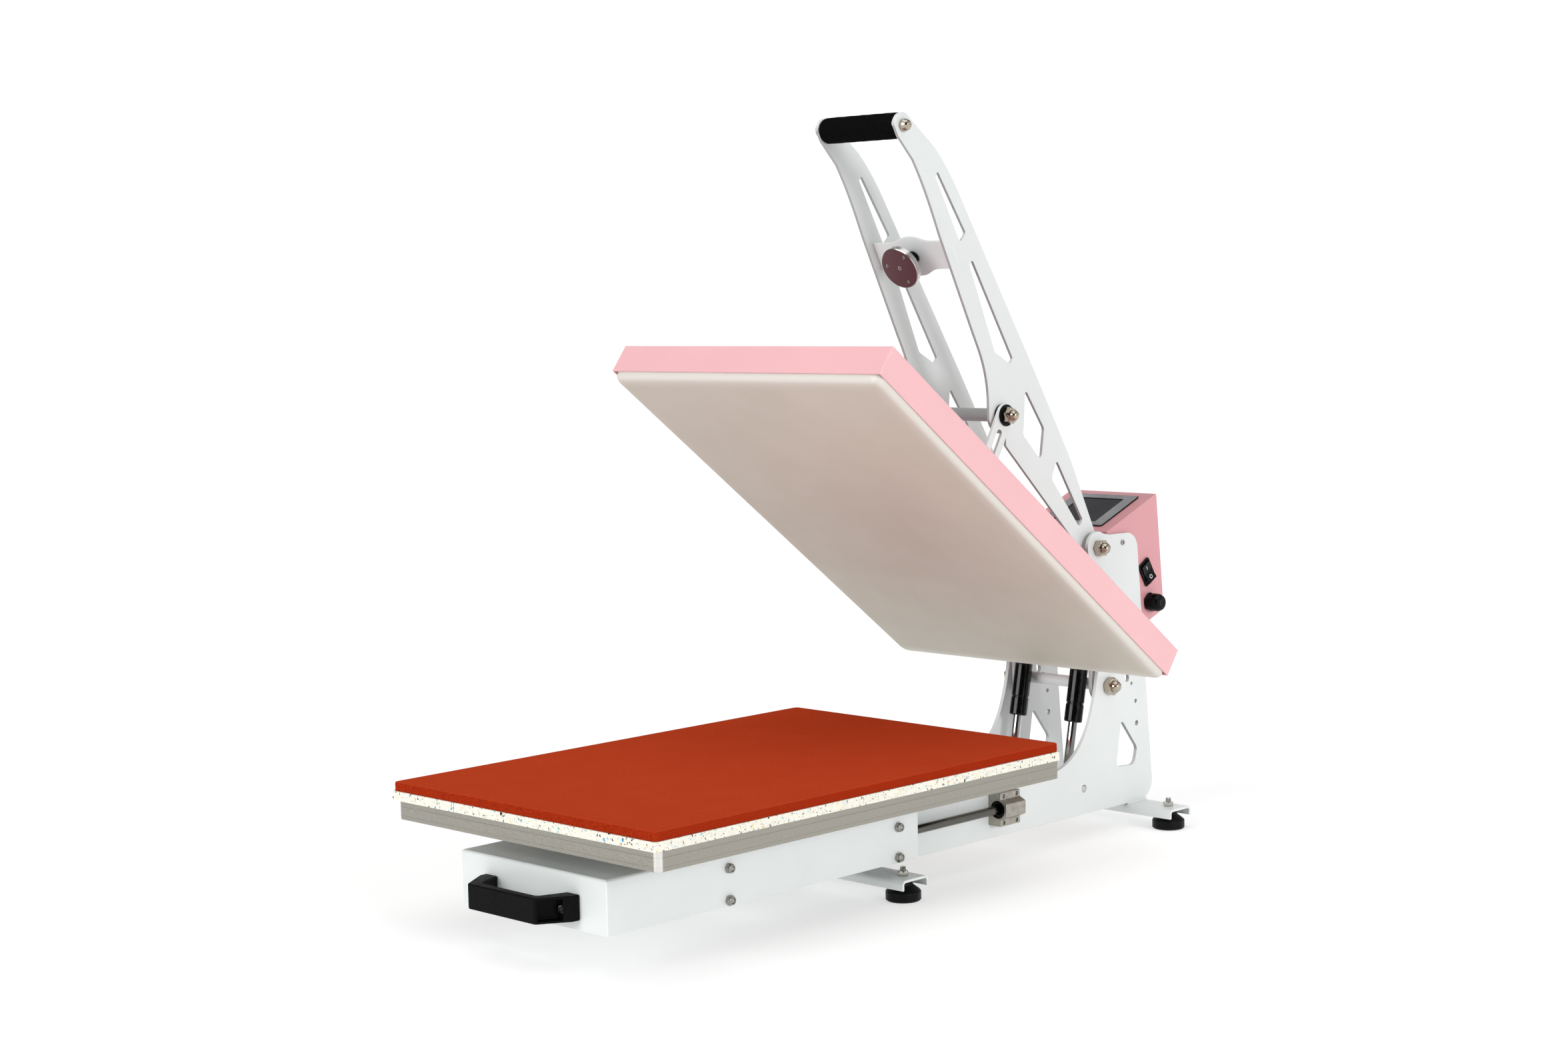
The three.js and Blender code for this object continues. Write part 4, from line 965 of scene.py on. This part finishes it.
def rods_and_supports():
    """Guide rods in T-shaped supports, each held to the drawer with two lock nuts."""
    rod = [(0, 168), (4.2, 168), (5, 168.9), (5, 665.1), (4.2, 666), (0, 666)]
    outer, inner = 108.9, 74.3
    flange = outer - 6
    centre = ROD[1]
    section = rounded([
        (outer, centre - 21, 0.8), (outer, centre + 21, 0.8), (flange, centre + 21, 0.8),
        (flange, centre + 11, 1.5), (inner, centre + 10, 3), (inner, centre - 10, 3),
        (flange, centre - 11, 1.5), (flange, centre - 21, 0.8),
    ])
    for side, where in SIDES:
        shaft = turned(rod, 48, "Y", (ROD[0], 0, centre))
        make(f"guide_shaft_{side}", shaft, "drawer", GUIDE_SHADED_CHROME, f"guide_rod_{side}", where)
        for end, y in (("front", 180), ("rear", 434.8)):
            body = plate(section, [circle(*ROD, 5.05, 40)], y - 7, y + 7, 0.5, "Y")
            make(f"shaft_support_{end}_{side}", body, "drawer", CAST, f"rod_support_{end}_{side}", where)
            nuts = []
            for z, turn in ((centre - 16.5, 40), (centre + 16.5, 15)):
                nuts.append(lock_nut(10, 111.4, 117.2, "X", (0, y, z), turn))
                nuts.append(stud(3, 105, 116.7, "X", (0, y, z), 1.0))
            make(f"drawer_nuts_{end}_{side}", merged(*nuts), "drawer", DARK_ZINC, where=where, sharp=24)


def bed_frame():
    """Mitred extrusion with fine grooves; its front corners are cut off between two eased edges."""
    def outline(inset):
        x, front, rear = 200 - inset, 3 + inset, 599.4 - inset
        corner = [(x - 5.4, front, 1.1), (x - 4.6, front + 1.9, 0.6), (x - 1.9, front + 3.9, 0.6),
                  (x, front + 4.9, 1.1)]
        back = [(x, rear, 0.9), (-x, rear, 0.9)]
        return rounded(corner + back + [(-a, b, r) for a, b, r in reversed(corner)], step=22.5)

    z0, z1 = FRAME_Z
    levels = [(z0, 0.9), (z0 + 0.25, 0.3), (z0 + 0.9, 0), (z0 + 4.2, 0), (z0 + 4.3, 0.1), (z0 + 4.6, 0.1),
              (z0 + 4.7, 0), (z0 + 13.6, 0), (z0 + 13.75, 0.2), (z0 + 14.2, 0.2), (z0 + 14.35, 0),
              (z1 - 0.6, 0), (z1 - 0.15, 0.25), (z1, 0.8)]
    rings = level_rings(outline, levels)
    well = [[(a * 0.871, 300 + (b - 300) * 0.911, z) for a, b, _ in rings[0]] for z in (z1 - 4, z0)]
    make("bed_extrusion", loft(well + rings), "drawer", EXTRUSION, "bed_frame")


def soft_slab(name, half, front, rear, radius, z, ease, rough, seed, finish, node):
    """Foam or rubber sheet: a gently uneven cut edge under a flat top."""
    z0, z1 = z
    runs = 7
    levels = [(z0, ease * 0.7), (z0 + ease * 0.4, ease * 0.15)]
    levels += [(z0 + ease + (z1 - z0 - 2 * ease) * i / runs, 0) for i in range(runs + 1)]
    levels += [(z1 - ease * 0.5, ease * 0.16), (z1 - ease * 0.16, ease * 0.5), (z1, ease)]
    middle, reach = (front + rear) / 2, (rear - front) / 2

    def outline(inset):
        path = panel(-half + inset, half - inset, front + inset, rear - inset, radius, 9)
        return split_sides(path, lambda length: round(length / 4.0) if length > 20 else 1)

    rings = level_rings(outline, levels)
    count = min(len(ring) for ring in rings)
    skin = []
    for ring in rings:
        out = []
        for x, y, h in ring[:count]:
            wave = noise.noise(Vector((x * 0.11, y * 0.11, h * 0.35 + seed)))
            fine = noise.noise(Vector((x * 0.45, y * 0.45, h * 0.8 + seed * 3)))
            push = rough * (0.6 * wave + 0.4 * fine)
            edge = Vector((x / half, (y - middle) / reach))
            away = Vector((edge.x ** 15, edge.y ** 15))
            away = away.normalized() if away.length > 1e-9 else Vector((0, 0))
            k = 0.4 if h in z else 1.0
            out.append((x + away.x * push * k, y + away.y * push * k, h))
        skin.append(out)
    piece = make(name, loft(skin), "drawer", finish, node, sharp=50)


def bed():
    bed_frame()
    soft_slab("foam_board", 201.6, -1.6, 601.6, 1.0, FOAM_Z, 0.4, 0.22, 4.1, FOAM, "bed_foam")
    soft_slab("silicone_sheet", 200.7, -0.7, 600.7, 5, SILICONE_Z, 0.8, 0.3, 9.7, SILICONE, "silicone_pad")


# ---------------- platen
def upright_corner(t, s):
    """Point t up from the platen pivot, along the opened arm's upright, and s behind it."""
    up = Vector((cos(pi / 2 + OPEN), sin(pi / 2 + OPEN)))
    return up.x * t + up.y * s, up.y * t - up.x * s


def link_foot():
    """Where the toggle links meet the platen arms, from the platen pivot."""
    run = Vector((cos(LINK_ANGLE), sin(LINK_ANGLE)))
    reach = Vector(LINK_PIVOT) + run * LINK_LENGTH - Vector(PLATEN_PIVOT)
    c, s = cos(OPEN), sin(OPEN)
    return reach.x * c - reach.y * s, reach.x * s + reach.y * c


def platen_arms():
    ly, lz = link_foot()
    outer = rounded([
        (*upright_corner(-19.5, -19.5), 19.3), (*upright_corner(-19.5, 19.5), 19.3),
        (*upright_corner(52, 19.5), 14), (*upright_corner(84, 8), 12), (-88, 54, 20), (ly + 34, 54, 12),
        (ly + 15, lz + 14, 9), (ly - 15, lz + 14, 9), (ly - 34, 54, 12), (-474, 54, 12), (-484, 24, 3),
        (-44, 24, 8)], step=6)
    window = rounded([(-120, 34, 4.5), (-120, 45, 4.5), (-300, 45, 4.5), (-300, 34, 4.5)])
    holes = [circle(0, 0, PIVOT_HOLE), circle(*STRUT_HOLE, 4.3, 32), window]
    for side, where in SIDES:
        arm = plate(outer, holes, *ARM_X, 0.7)
        make(f"platen_plate_{side}", arm, "platen", WHITE_EDGE_SHADE, f"platen_arm_{side}", PLATEN @ where)
        boss = turned([(0, 58), (9, 58), (9, 62.3, 0.5), (0, 62.3)], 40, "X", (0, ly, lz))
        make(f"link_boss_{side}", boss, "platen", STEEL, where=PLATEN @ where)


def cover_outline(inset, corner, step):
    """The cover's outline drawn in by inset."""
    half = COVER_HALF - inset
    return panel(-half, half, COVER_FRONT + inset, COVER_REAR - inset, corner, step)


def platen_cover():
    folded_shell("platen_shell", COVER_HALF, (COVER_FRONT, COVER_REAR), (RIM_Z, COVER_TOP), 1.6, 1.2, 1.5,
                 "platen", PINK, "platen_cover", where=PLATEN)


def heated_plate():
    """Cast plate with rounded lower edges, just inside the cloth."""
    inset, radius = 8.5, 5.4
    levels = [(RIM_Z + 13.8, 4.1), (RIM_Z + 13, 3.1)]
    for angle in range(0, 91, 10):
        across, down = polar(radius, angle)
        levels.append((CLOTH_Z + 6.5 - down, inset - across))

    def outline(drawn_in):
        return cover_outline(drawn_in, max(7, 9.5 - max(0, drawn_in - 3.1) * 0.35), 9)

    make("heater_casting", loft(level_rings(outline, levels)[::-1]), "platen", CAST, "heat_plate", PLATEN)


def cloth_cover():
    """Coated cloth drawn tight over the heated plate, turned up inside the cover, with faint pleats."""
    gap, radius = 2, 6.5
    levels = [(1.2, gap), (-5, gap), (CLOTH_Z + radius + 3, gap)]
    levels += [(CLOTH_Z + radius * (1 - cos(radians(a))), gap + radius * (1 - sin(radians(a))))
               for a in range(90, 0, -10)]
    levels += [(CLOTH_Z, gap + radius), (CLOTH_Z, 16), (CLOTH_Z, 34)]

    def outline(inset):
        path = cover_outline(inset, max(10.5 - max(0, inset - gap) * 0.35, 7), 6)
        return split_sides(path, lambda length: 24 if length > 100 else 1)

    skin = []
    for ring in level_rings(outline, levels):
        out = []
        for x, y, z in ring:
            from_middle = abs(y - COVER_MIDDLE)
            corner = max(0, min(abs(x) / 200, from_middle / 300) - 0.93) / 0.07
            turn = atan2(from_middle - 285, abs(x) - 185)
            pleat = 0.35 * corner * sin(turn * 9) * (1 if z > CLOTH_Z + 1 else 0.3)
            slack = 0.25 * noise.noise(Vector((x * 0.02, y * 0.02, z * 0.05 + 5)))
            k = 1 + (pleat + slack) / 300
            out.append((x * k, COVER_MIDDLE + (y - COVER_MIDDLE) * k, z))
        skin.append(out)
    mesh = loft(skin[::-1], cap_last=False)
    piece = make("heat_cloth_cover", mesh, "platen", CLOTH, "heat_cloth", PLATEN, sharp=60, weighted=False)
    cloth = piece.modifiers.new("sheet", "SOLIDIFY")
    cloth.thickness = 0.0005
    cloth.offset = -1


def channels():
    """Two folded channels across the cover, drilled for the pressure screw and the magnet's stud."""
    base, half, sheet = 24, 25, 3
    spans = (("pressure_channel", PRESSURE_Y, 26, 5.8), ("magnet_channel", MAGNET_Y, 29, 4))
    for node, middle, height, drill in spans:
        top = base + height
        section = channel(middle - half, middle + half, base, top, sheet, 0.4, 1.5, 4)
        tool = cylinder(drill, base, top + 2, at=(0, middle, 0))
        body = boolean(plate(section, [], -56.2, 56.2, 0.35), [tool])
        make(f"{node}_sheet", body, "platen", WHITE, node, PLATEN)


def electromagnet():
    """Steel pot round a drilled core, the ring between them filled with resin."""
    base, top = 53.6, 85.6
    floor = top - 0.9
    at = (0, MAGNET_Y, 0)
    pot = [(0, base), (24, base, 0.6), (25, base + 1), (25, top - 1.2, 0.8), (24, top, 0.5), (21.6, top, 0.3),
           (21.6, floor), (9.6, floor), (9.6, top, 0.3), (3, top, 0.5), (3, top - 5), (0, top - 5)]
    make("magnet_pot", turned(pot, 72, at=at), "platen", GROUND, "electromagnet", PLATEN)
    resin = [(9.7, top - 1.2), (21.5, top - 1.2), (21.5, top - 0.25, 0.3), (9.7, top - 0.25, 0.3)]
    make("magnet_resin", turned(resin, 72, at=at, closed=True), "platen", SMOOTH_BLACK, where=PLATEN)


def pressure_knob():
    """Six-lobed hand knob on a threaded stem."""
    base = 50.0
    count = 144

    def outline(inset):
        angles = [2 * pi * i / count for i in range(count)]
        radii = [19 + 2.6 * cos(6 * a) - inset for a in angles]
        return [(r * cos(a), r * sin(a)) for r, a in zip(radii, angles)]

    edge = [(9, 2.2), (9.3, 1.2), (10.2, 0.3), (11.6, 0), (21.6, 0), (23, 0.35), (23.8, 1.2), (24, 2.4)]
    lobes = loft(level_rings(outline, [(base + h, inset) for h, inset in edge]))
    hub = turned([(0, base + 2), (8.6, base + 2, 0.6), (11, base + 10, 1), (11, base + 24, 1.2),
                  (8.4, base + 27, 1.5), (0, base + 27)], 56)
    at = PLATEN @ move((0, PRESSURE_Y, 0))
    make("knob_lobes", merged(lobes, hub), "knob", PLASTIC, "pressure_knob", at)
    make("pressure_screw", stud(5.5, base - 20, base + 3, pitch=1.5), "knob", STEEL, where=at)


def platen_pivots():
    pivot_sleeve("platen_sleeve", 7, 5.4, 56.2, "platen", WHITE, "platen_pivot_sleeve", PLATEN)
    make("strut_pin_high", pin(3.6, 61.4, 4, 60.8), "platen", GROUND, "strut_top_pin",
         PLATEN @ move((0, *STRUT_HOLE)))


# ---------------- handle and links
def handle_arms():
    """Lever plates: a slim curved outline with four windows."""
    gy, gz = GRIP
    ay, az = HANDLE_PIVOT
    by, bz = LINK_PIVOT
    outer = [(gy - 14, gz)] + arc(gy, gz, 14.2, 183.6, 39.6) + [(572, 811)]
    outer += bezier((572, 811), (592, 791), (606, 771), (620, 748))
    outer += [(742, 557), (806, 453), (ay + 14, az + 8)]
    outer += arc(ay, az, 14, degrees(0.35), degrees(-2.25)) + [(688, 474)]
    outer += arc(by, bz, 21, degrees(-1.2), degrees(-2.95)) + [(658.5, 530)]
    outer += bezier((658.5, 530), (656, 565), (645, 583), (634, 604)) + [(578, 716)]
    outer += bezier((578, 716), (560, 757), (550, 775), (536, 797)) + [(512, 822)]
    windows = [
        [(576, 785, 1.8), (622.5, 717, 4), (612, 706.5, 3.6), (572, 780, 1.8)],
        [(632.5, 688, 2.5), (702, 574, 3), (697, 568, 3), (670.5, 582, 8), (628, 681, 2.5)],
        [(724, 538, 2), (757.5, 491, 8), (751.5, 453.5, 3.5), (719.5, 485, 8)],
        [(780, 453, 3), (828, 378.5, 3), (822, 370, 3), (770.5, 431, 8)],
    ]
    holes = [rounded(window) for window in windows]
    holes += [circle(*GRIP, 4.3, 32), circle(*LINK_PIVOT, PIVOT_HOLE), circle(*HANDLE_PIVOT, PIVOT_HOLE)]
    for side, where in SIDES:
        lever = plate(outer, holes, *LEVER_X)
        make(f"lever_plate_{side}", lever, "handle", WHITE_EDGE_SHADE, f"handle_arm_{side}", where)


def grip():
    """Foam tube, slightly uneven, on a tie rod with domed caps."""
    at = move((0, *GRIP))
    profile = [(4.4, -55.2), (12.6, -55.2, 0.8), (14.3, -52.5, 2.5), (14.5, -40)]
    profile += [(14.5 + 0.12 * sin(i * 1.7), -40 + i * 5) for i in range(1, 16)]
    profile += [(14.5, 40), (14.3, 52.5, 2.5), (12.6, 55.2, 0.8), (4.4, 55.2)]
    tube = turned(profile, 64, "X", closed=True)
    make("grip_sleeve", tube, "handle", GRIP_FOAM, "handle_grip", at, sharp=50)
    cap = turned([(0, 59.8), (6.6, 59.8, 0.3), (7, 60.6, 0.3), (7, 63.2, 0.8), (5.6, 67.2, 2.6), (3, 69.4, 2),
                  (0, 69.8)], 40, "X")
    rod = cylinder(4, -60.2, 60.2, 32, "X")
    make("grip_rod_and_caps", merged(rod, *both_sides(cap)), "handle", NICKEL, "grip_tie_rod", at)


def armature_bridge():
    """Plate between the lever plates, wider round its middle."""
    end = 55.2
    outer = [(-end, -18), (-32, -18)] + bezier((-32, -18), (-18, -18), (-15, -24.5), (0, -24.5))
    outer += bezier((0, -24.5), (15, -24.5), (18, -18), (32, -18)) + [(end, -18), (end, 16.5), (30, 16.5)]
    outer += bezier((30, 16.5), (17, 17), (17, 24), (0, 24.5))
    outer += bezier((0, 24.5), (-17, 24), (-17, 17), (-30, 16.5)) + [(-end, 16.5)]
    bridge = plate(outer, [], -1.5, 1.5, 0.5, "Z")
    make("armature_bridge", bridge, "handle", WHITE, "armature_plate", ARMATURE)


def armature_disc():
    """Disc under the bridge with a dark pinkish face, a painted reflection of the pink cover, four socket
    screws in it and a black collar.
    """
    spots = [(*polar(18, 71 + 120 * i), 0) for i in range(3)]
    disc = turned([(0, -30), (24.2, -30), (25, -29.2), (25, -23.6, 0.3), (24.4, -23), (6, -23), (6, -1.8),
                   (0, -1.8)], 96)
    cuts = [cylinder(2.4, -32, -25.5, 28, at=spot) for spot in spots]
    cuts.append(cylinder(3, -32, -25.5, 32))
    disc = make("armature_face", boolean(disc, cuts), "handle", GROUND, "armature_disc", ARMATURE).data
    disc.materials.append(PINK_REFLECTION_STEEL)
    down = ARMATURE.to_3x3() @ Vector((0, 0, -1))
    # Faces that point straight down take the painted pink reflection.
    for polygon in disc.polygons:
        polygon.material_index = int(polygon.normal.dot(down) > 0.99)
    small = [(0, -26), (2.15, -26), (2.15, -29.4, 0.4), (1.15, -29.4, 0.2), (1.15, -27.3), (0, -27.3)]
    large = [(0, -26), (2.75, -26), (2.75, -29.6, 0.4), (1.5, -29.6, 0.2), (1.5, -27), (0, -27)]
    heads = [turned(small, 24, at=spot) for spot in spots] + [turned(large, 28)]
    make("armature_screws", merged(*heads), "handle", STEEL, where=ARMATURE)
    collar = [(6.2, -22.7), (9.4, -22.7, 0.4), (9.4, -19.6, 0.6), (7.6, -18.8, 0.4), (7.6, -2.2, 0.3),
              (6.2, -2.2)]
    make("armature_collar", turned(collar, 48, closed=True), "handle", SMOOTH_BLACK, where=ARMATURE)


def armature_tabs():
    """Ends of the bridge, which show in the outer faces of the lever plates."""
    for side, where in SIDES:
        tab = bevelled_box((59.35, 59.75), (-12, 11), (-2, 2), 0.15)
        make(f"armature_tab_{side}", tab, "handle", WHITE, where=ARMATURE @ where)


def links():
    """Toggle links with a long window, on bushings round the link axle."""
    run = Vector((cos(LINK_ANGLE), sin(LINK_ANGLE)))
    across = Vector((-run.y, run.x))

    def along(start, end, half, radius, step):
        places = [(start, -half), (start, half), (end, half), (end, -half)]
        corners = [Vector(LINK_PIVOT) + run * t + across * o for t, o in places]
        return rounded([(*corner, radius) for corner in corners], step=step)

    here = move((0, *LINK_PIVOT))
    outer = along(-13, 118, 13, 12.9, 6)
    window = along(19, 86, 4.2, 4.1, 11.25)
    bush = [(5.3, 59.8), (12.5, 59.8, 0.3), (12.5, 62.3, 0.3), (7, 62.3), (7, 66.9), (12.5, 66.9, 0.3),
            (12.5, 68.4, 0.5), (5.3, 68.4)]
    for side, where in SIDES:
        bar = plate(outer, [window, circle(*LINK_PIVOT, 7.3)], *LINK_X)
        make(f"link_bar_{side}", bar, "links", WHITE_EDGE_SHADE, f"toggle_link_{side}", where)
        make(f"link_washers_{side}", turned(bush, 56, "X", closed=True), "handle", BUSHING,
             f"link_bushing_{side}", where @ here)
    pivot_sleeve("link_sleeve", 7.7, 5.3, 55.2, "handle", GREY, "link_pivot_sleeve", here)
    nutted_axle("link_axle", 69.5, 68.7, 17, 12, "handle", LINK_PIVOT)


# ---------------- gas struts
def struts():
    """Gas struts: chrome rod below, black cylinder above, an eye on each end."""
    length = STRUT_RUN.length
    start, end = 77, length - 16
    eye = [(4.4, -6), (8.4, -6, 0.8), (9, -4.6, 0.5), (9, 4.6, 0.5), (8.4, 6, 0.8), (4.4, 6)]
    rod = [(0, 7), (6, 7, 0.5), (6, 17.6, 1), (5.5, 18.2), (5.5, 116.6), (0, 117)]
    tube = [
        (0, end - 6), (6.9, end - 6), (6.9, start), (9.9, start, 0.4), (10.9, start + 1.2, 0.8),
        (10.9, start + 21, 0.3), (10.1, start + 21.7, 0.3), (10.1, start + 23.3, 0.3),
        (10.9, start + 24, 0.3), (10.9, end - 4, 2.5), (8.6, end - 0.8, 1.4), (6, end), (6, length - 7),
        (0, length - 7),
    ]
    wiper = [(5.7, start - 0.2), (7.4, start - 0.2, 0.2), (7.4, start + 2), (5.7, start + 2)]
    for side, x in (("right", 42.5), ("left", -42.5)):
        at = STRUT @ move((x, 0, 0))
        low = merged(turned(eye, 40, "X", closed=True), turned(rod, 40))
        make(f"strut_shaft_{side}", low, "strut_rods", CHROME, f"strut_rod_{side}", at)
        high = merged(turned(tube, 56), turned(eye, 40, "X", (0, 0, length), closed=True))
        make(f"strut_cylinder_{side}", high, "strut_barrels", GLOSS_PAINT, f"strut_barrel_{side}", at)
        make(f"strut_wiper_{side}", turned(wiper, 40, closed=True), "strut_barrels", WIPER, where=at)


# ---------------- studio
# The sky's bright and dark parts: direction, cosines where each starts and is full, strength.
SKY_BASE = 0.34
SKY = (
    ((0.80, 0.58, 0.15), 0.72, 0.90, 0.9),
    ((-0.70, -0.70, 0.1), 0.35, 0.85, 0.08),
    ((-0.71, 0.71, 0.0), 0.84, 0.925, 1.06),
    ((0.68, -0.72, 0.12), 0.82, 0.95, 0.02),
)
BACKDROP = 1.06
FLOOR_GLOW = 0.5
FLOOR_RADII = (0.5, 1.5, 4, 12, 60)


def far_light(name, towards, strength, width):
    """Large distant softbox, width degrees across."""
    data = bpy.data.lights.new(name, "SUN")
    data.energy = strength
    data.angle = radians(width)
    lamp = bpy.data.objects.new(name, data)
    lamp.rotation_euler = Vector(towards).to_track_quat("Z", "Y").to_euler()
    COLLECTION.objects.link(lamp)


def lobe(tree, direction, start, full):
    """0 to 1 as the sky's direction nears the given one."""
    sky = add_node(tree, "ShaderNodeTexCoord").outputs["Generated"]
    unit = add_node(tree, "ShaderNodeVectorMath", {0: sky}, operation="NORMALIZE").outputs["Vector"]
    inputs = {0: unit, 1: Vector(direction).normalized()}
    nearness = add_node(tree, "ShaderNodeVectorMath", inputs, operation="DOT_PRODUCT").outputs["Value"]
    inputs = {"Value": nearness, "From Min": start, "From Max": full}
    return add_node(tree, "ShaderNodeMapRange", inputs, interpolation_type="SMOOTHSTEP").outputs["Result"]


def studio_sky():
    """Lit like a room with bright walls at the back and dim ones in front; the camera sees only white."""
    world = bpy.data.worlds.new("studio_sky")
    world.use_nodes = True
    tree = world.node_tree
    level = SKY_BASE
    for direction, start, full, value in SKY:
        share = lobe(tree, direction, start, full)
        level = add_node(tree, "ShaderNodeMix", {0: share, 2: level, 3: value}).outputs[0]
    camera_ray = add_node(tree, "ShaderNodeLightPath").outputs["Is Camera Ray"]
    level = add_node(tree, "ShaderNodeMix", {0: camera_ray, 2: level, 3: BACKDROP}).outputs[0]
    background = tree.nodes["Background"]
    background.inputs["Color"].default_value = (1, 1, 1, 1)
    tree.links.new(level, background.inputs["Strength"])
    bpy.context.scene.world = world


def studio_paper():
    """Softly glowing paper that is seen from above only."""
    m = Shade("studio_paper", (0.5, 0.5, 0.5), 0.9, Specular_IOR_Level=0.0, Emission_Color=(1, 1, 1, 1),
              Emission_Strength=FLOOR_GLOW)
    m.drive("Base Color", m.mix(m.patches(3, 2), (0.635,) * 3, (0.645,) * 3))
    clear = m.node("ShaderNodeBsdfTransparent").outputs[0]
    under = m.node("ShaderNodeNewGeometry").outputs["Backfacing"]
    one_sided = m.node("ShaderNodeMixShader", {0: under, 1: m.bsdf.outputs[0], 2: clear}).outputs[0]
    m.tree.links.new(one_sided, m.tree.nodes["Material Output"].inputs["Surface"])
    return m.material


def studio():
    sheet = loft([[(x, y, 0) for x, y in circle(0, 0, r, 96)] for r in FLOOR_RADII], cap_last=False)
    if sheet.polygons[0].normal.z < 0:
        sheet.flip_normals()
    sheet.materials.append(studio_paper())
    ground = bpy.data.objects.new("studio_floor", sheet)
    COLLECTION.objects.link(ground)
    studio_sky()
    far_light("ceiling", (0.1, -0.15, 1.0), 0.95, 60)
    far_light("right_softbox", (0.97, -0.15, 0.25), 1.05, 15)
    far_light("front_softbox", (-0.15, -1.0, 0.35), 1.72, 40)


def camera():
    """Three-quarter view from the front right, slightly above the bed."""
    yaw, pitch, roll = (radians(v) for v in (44.613, 5.162, -1.187))
    forward = Vector((-sin(yaw), cos(yaw), 0))
    right = Vector((cos(yaw), sin(yaw), 0))
    up = Vector((0, 0, 1))
    forward, up = (forward * cos(pitch) - up * sin(pitch), up * cos(pitch) + forward * sin(pitch))
    right, up = (right * cos(roll) + up * sin(roll), up * cos(roll) - right * sin(roll))
    data = bpy.data.cameras.new("studio_camera")
    data.lens = 59.34
    data.sensor_width = 36
    data.clip_end = 100
    view = bpy.data.objects.new("studio_camera", data)
    facing = Matrix((right, up, -forward)).transposed().to_4x4()
    view.matrix_world = move((1.9566, -2.0802, 0.6589)) @ facing
    COLLECTION.objects.link(view)
    bpy.context.scene.camera = view


side_plates()
foot_bars()
bearing_blocks()
axles()
cross_tubes()
control_box()
display()
power_switch()
cable_gland()
drawer_box()
drawer_handle()
rods_and_supports()
bed()
platen_arms()
platen_cover()
heated_plate()
cloth_cover()
channels()
electromagnet()
pressure_knob()
platen_pivots()
handle_arms()
grip()
armature_bridge()
armature_disc()
armature_tabs()
links()
struts()
studio()
camera()
bpy.context.scene.view_settings.view_transform = "Standard"
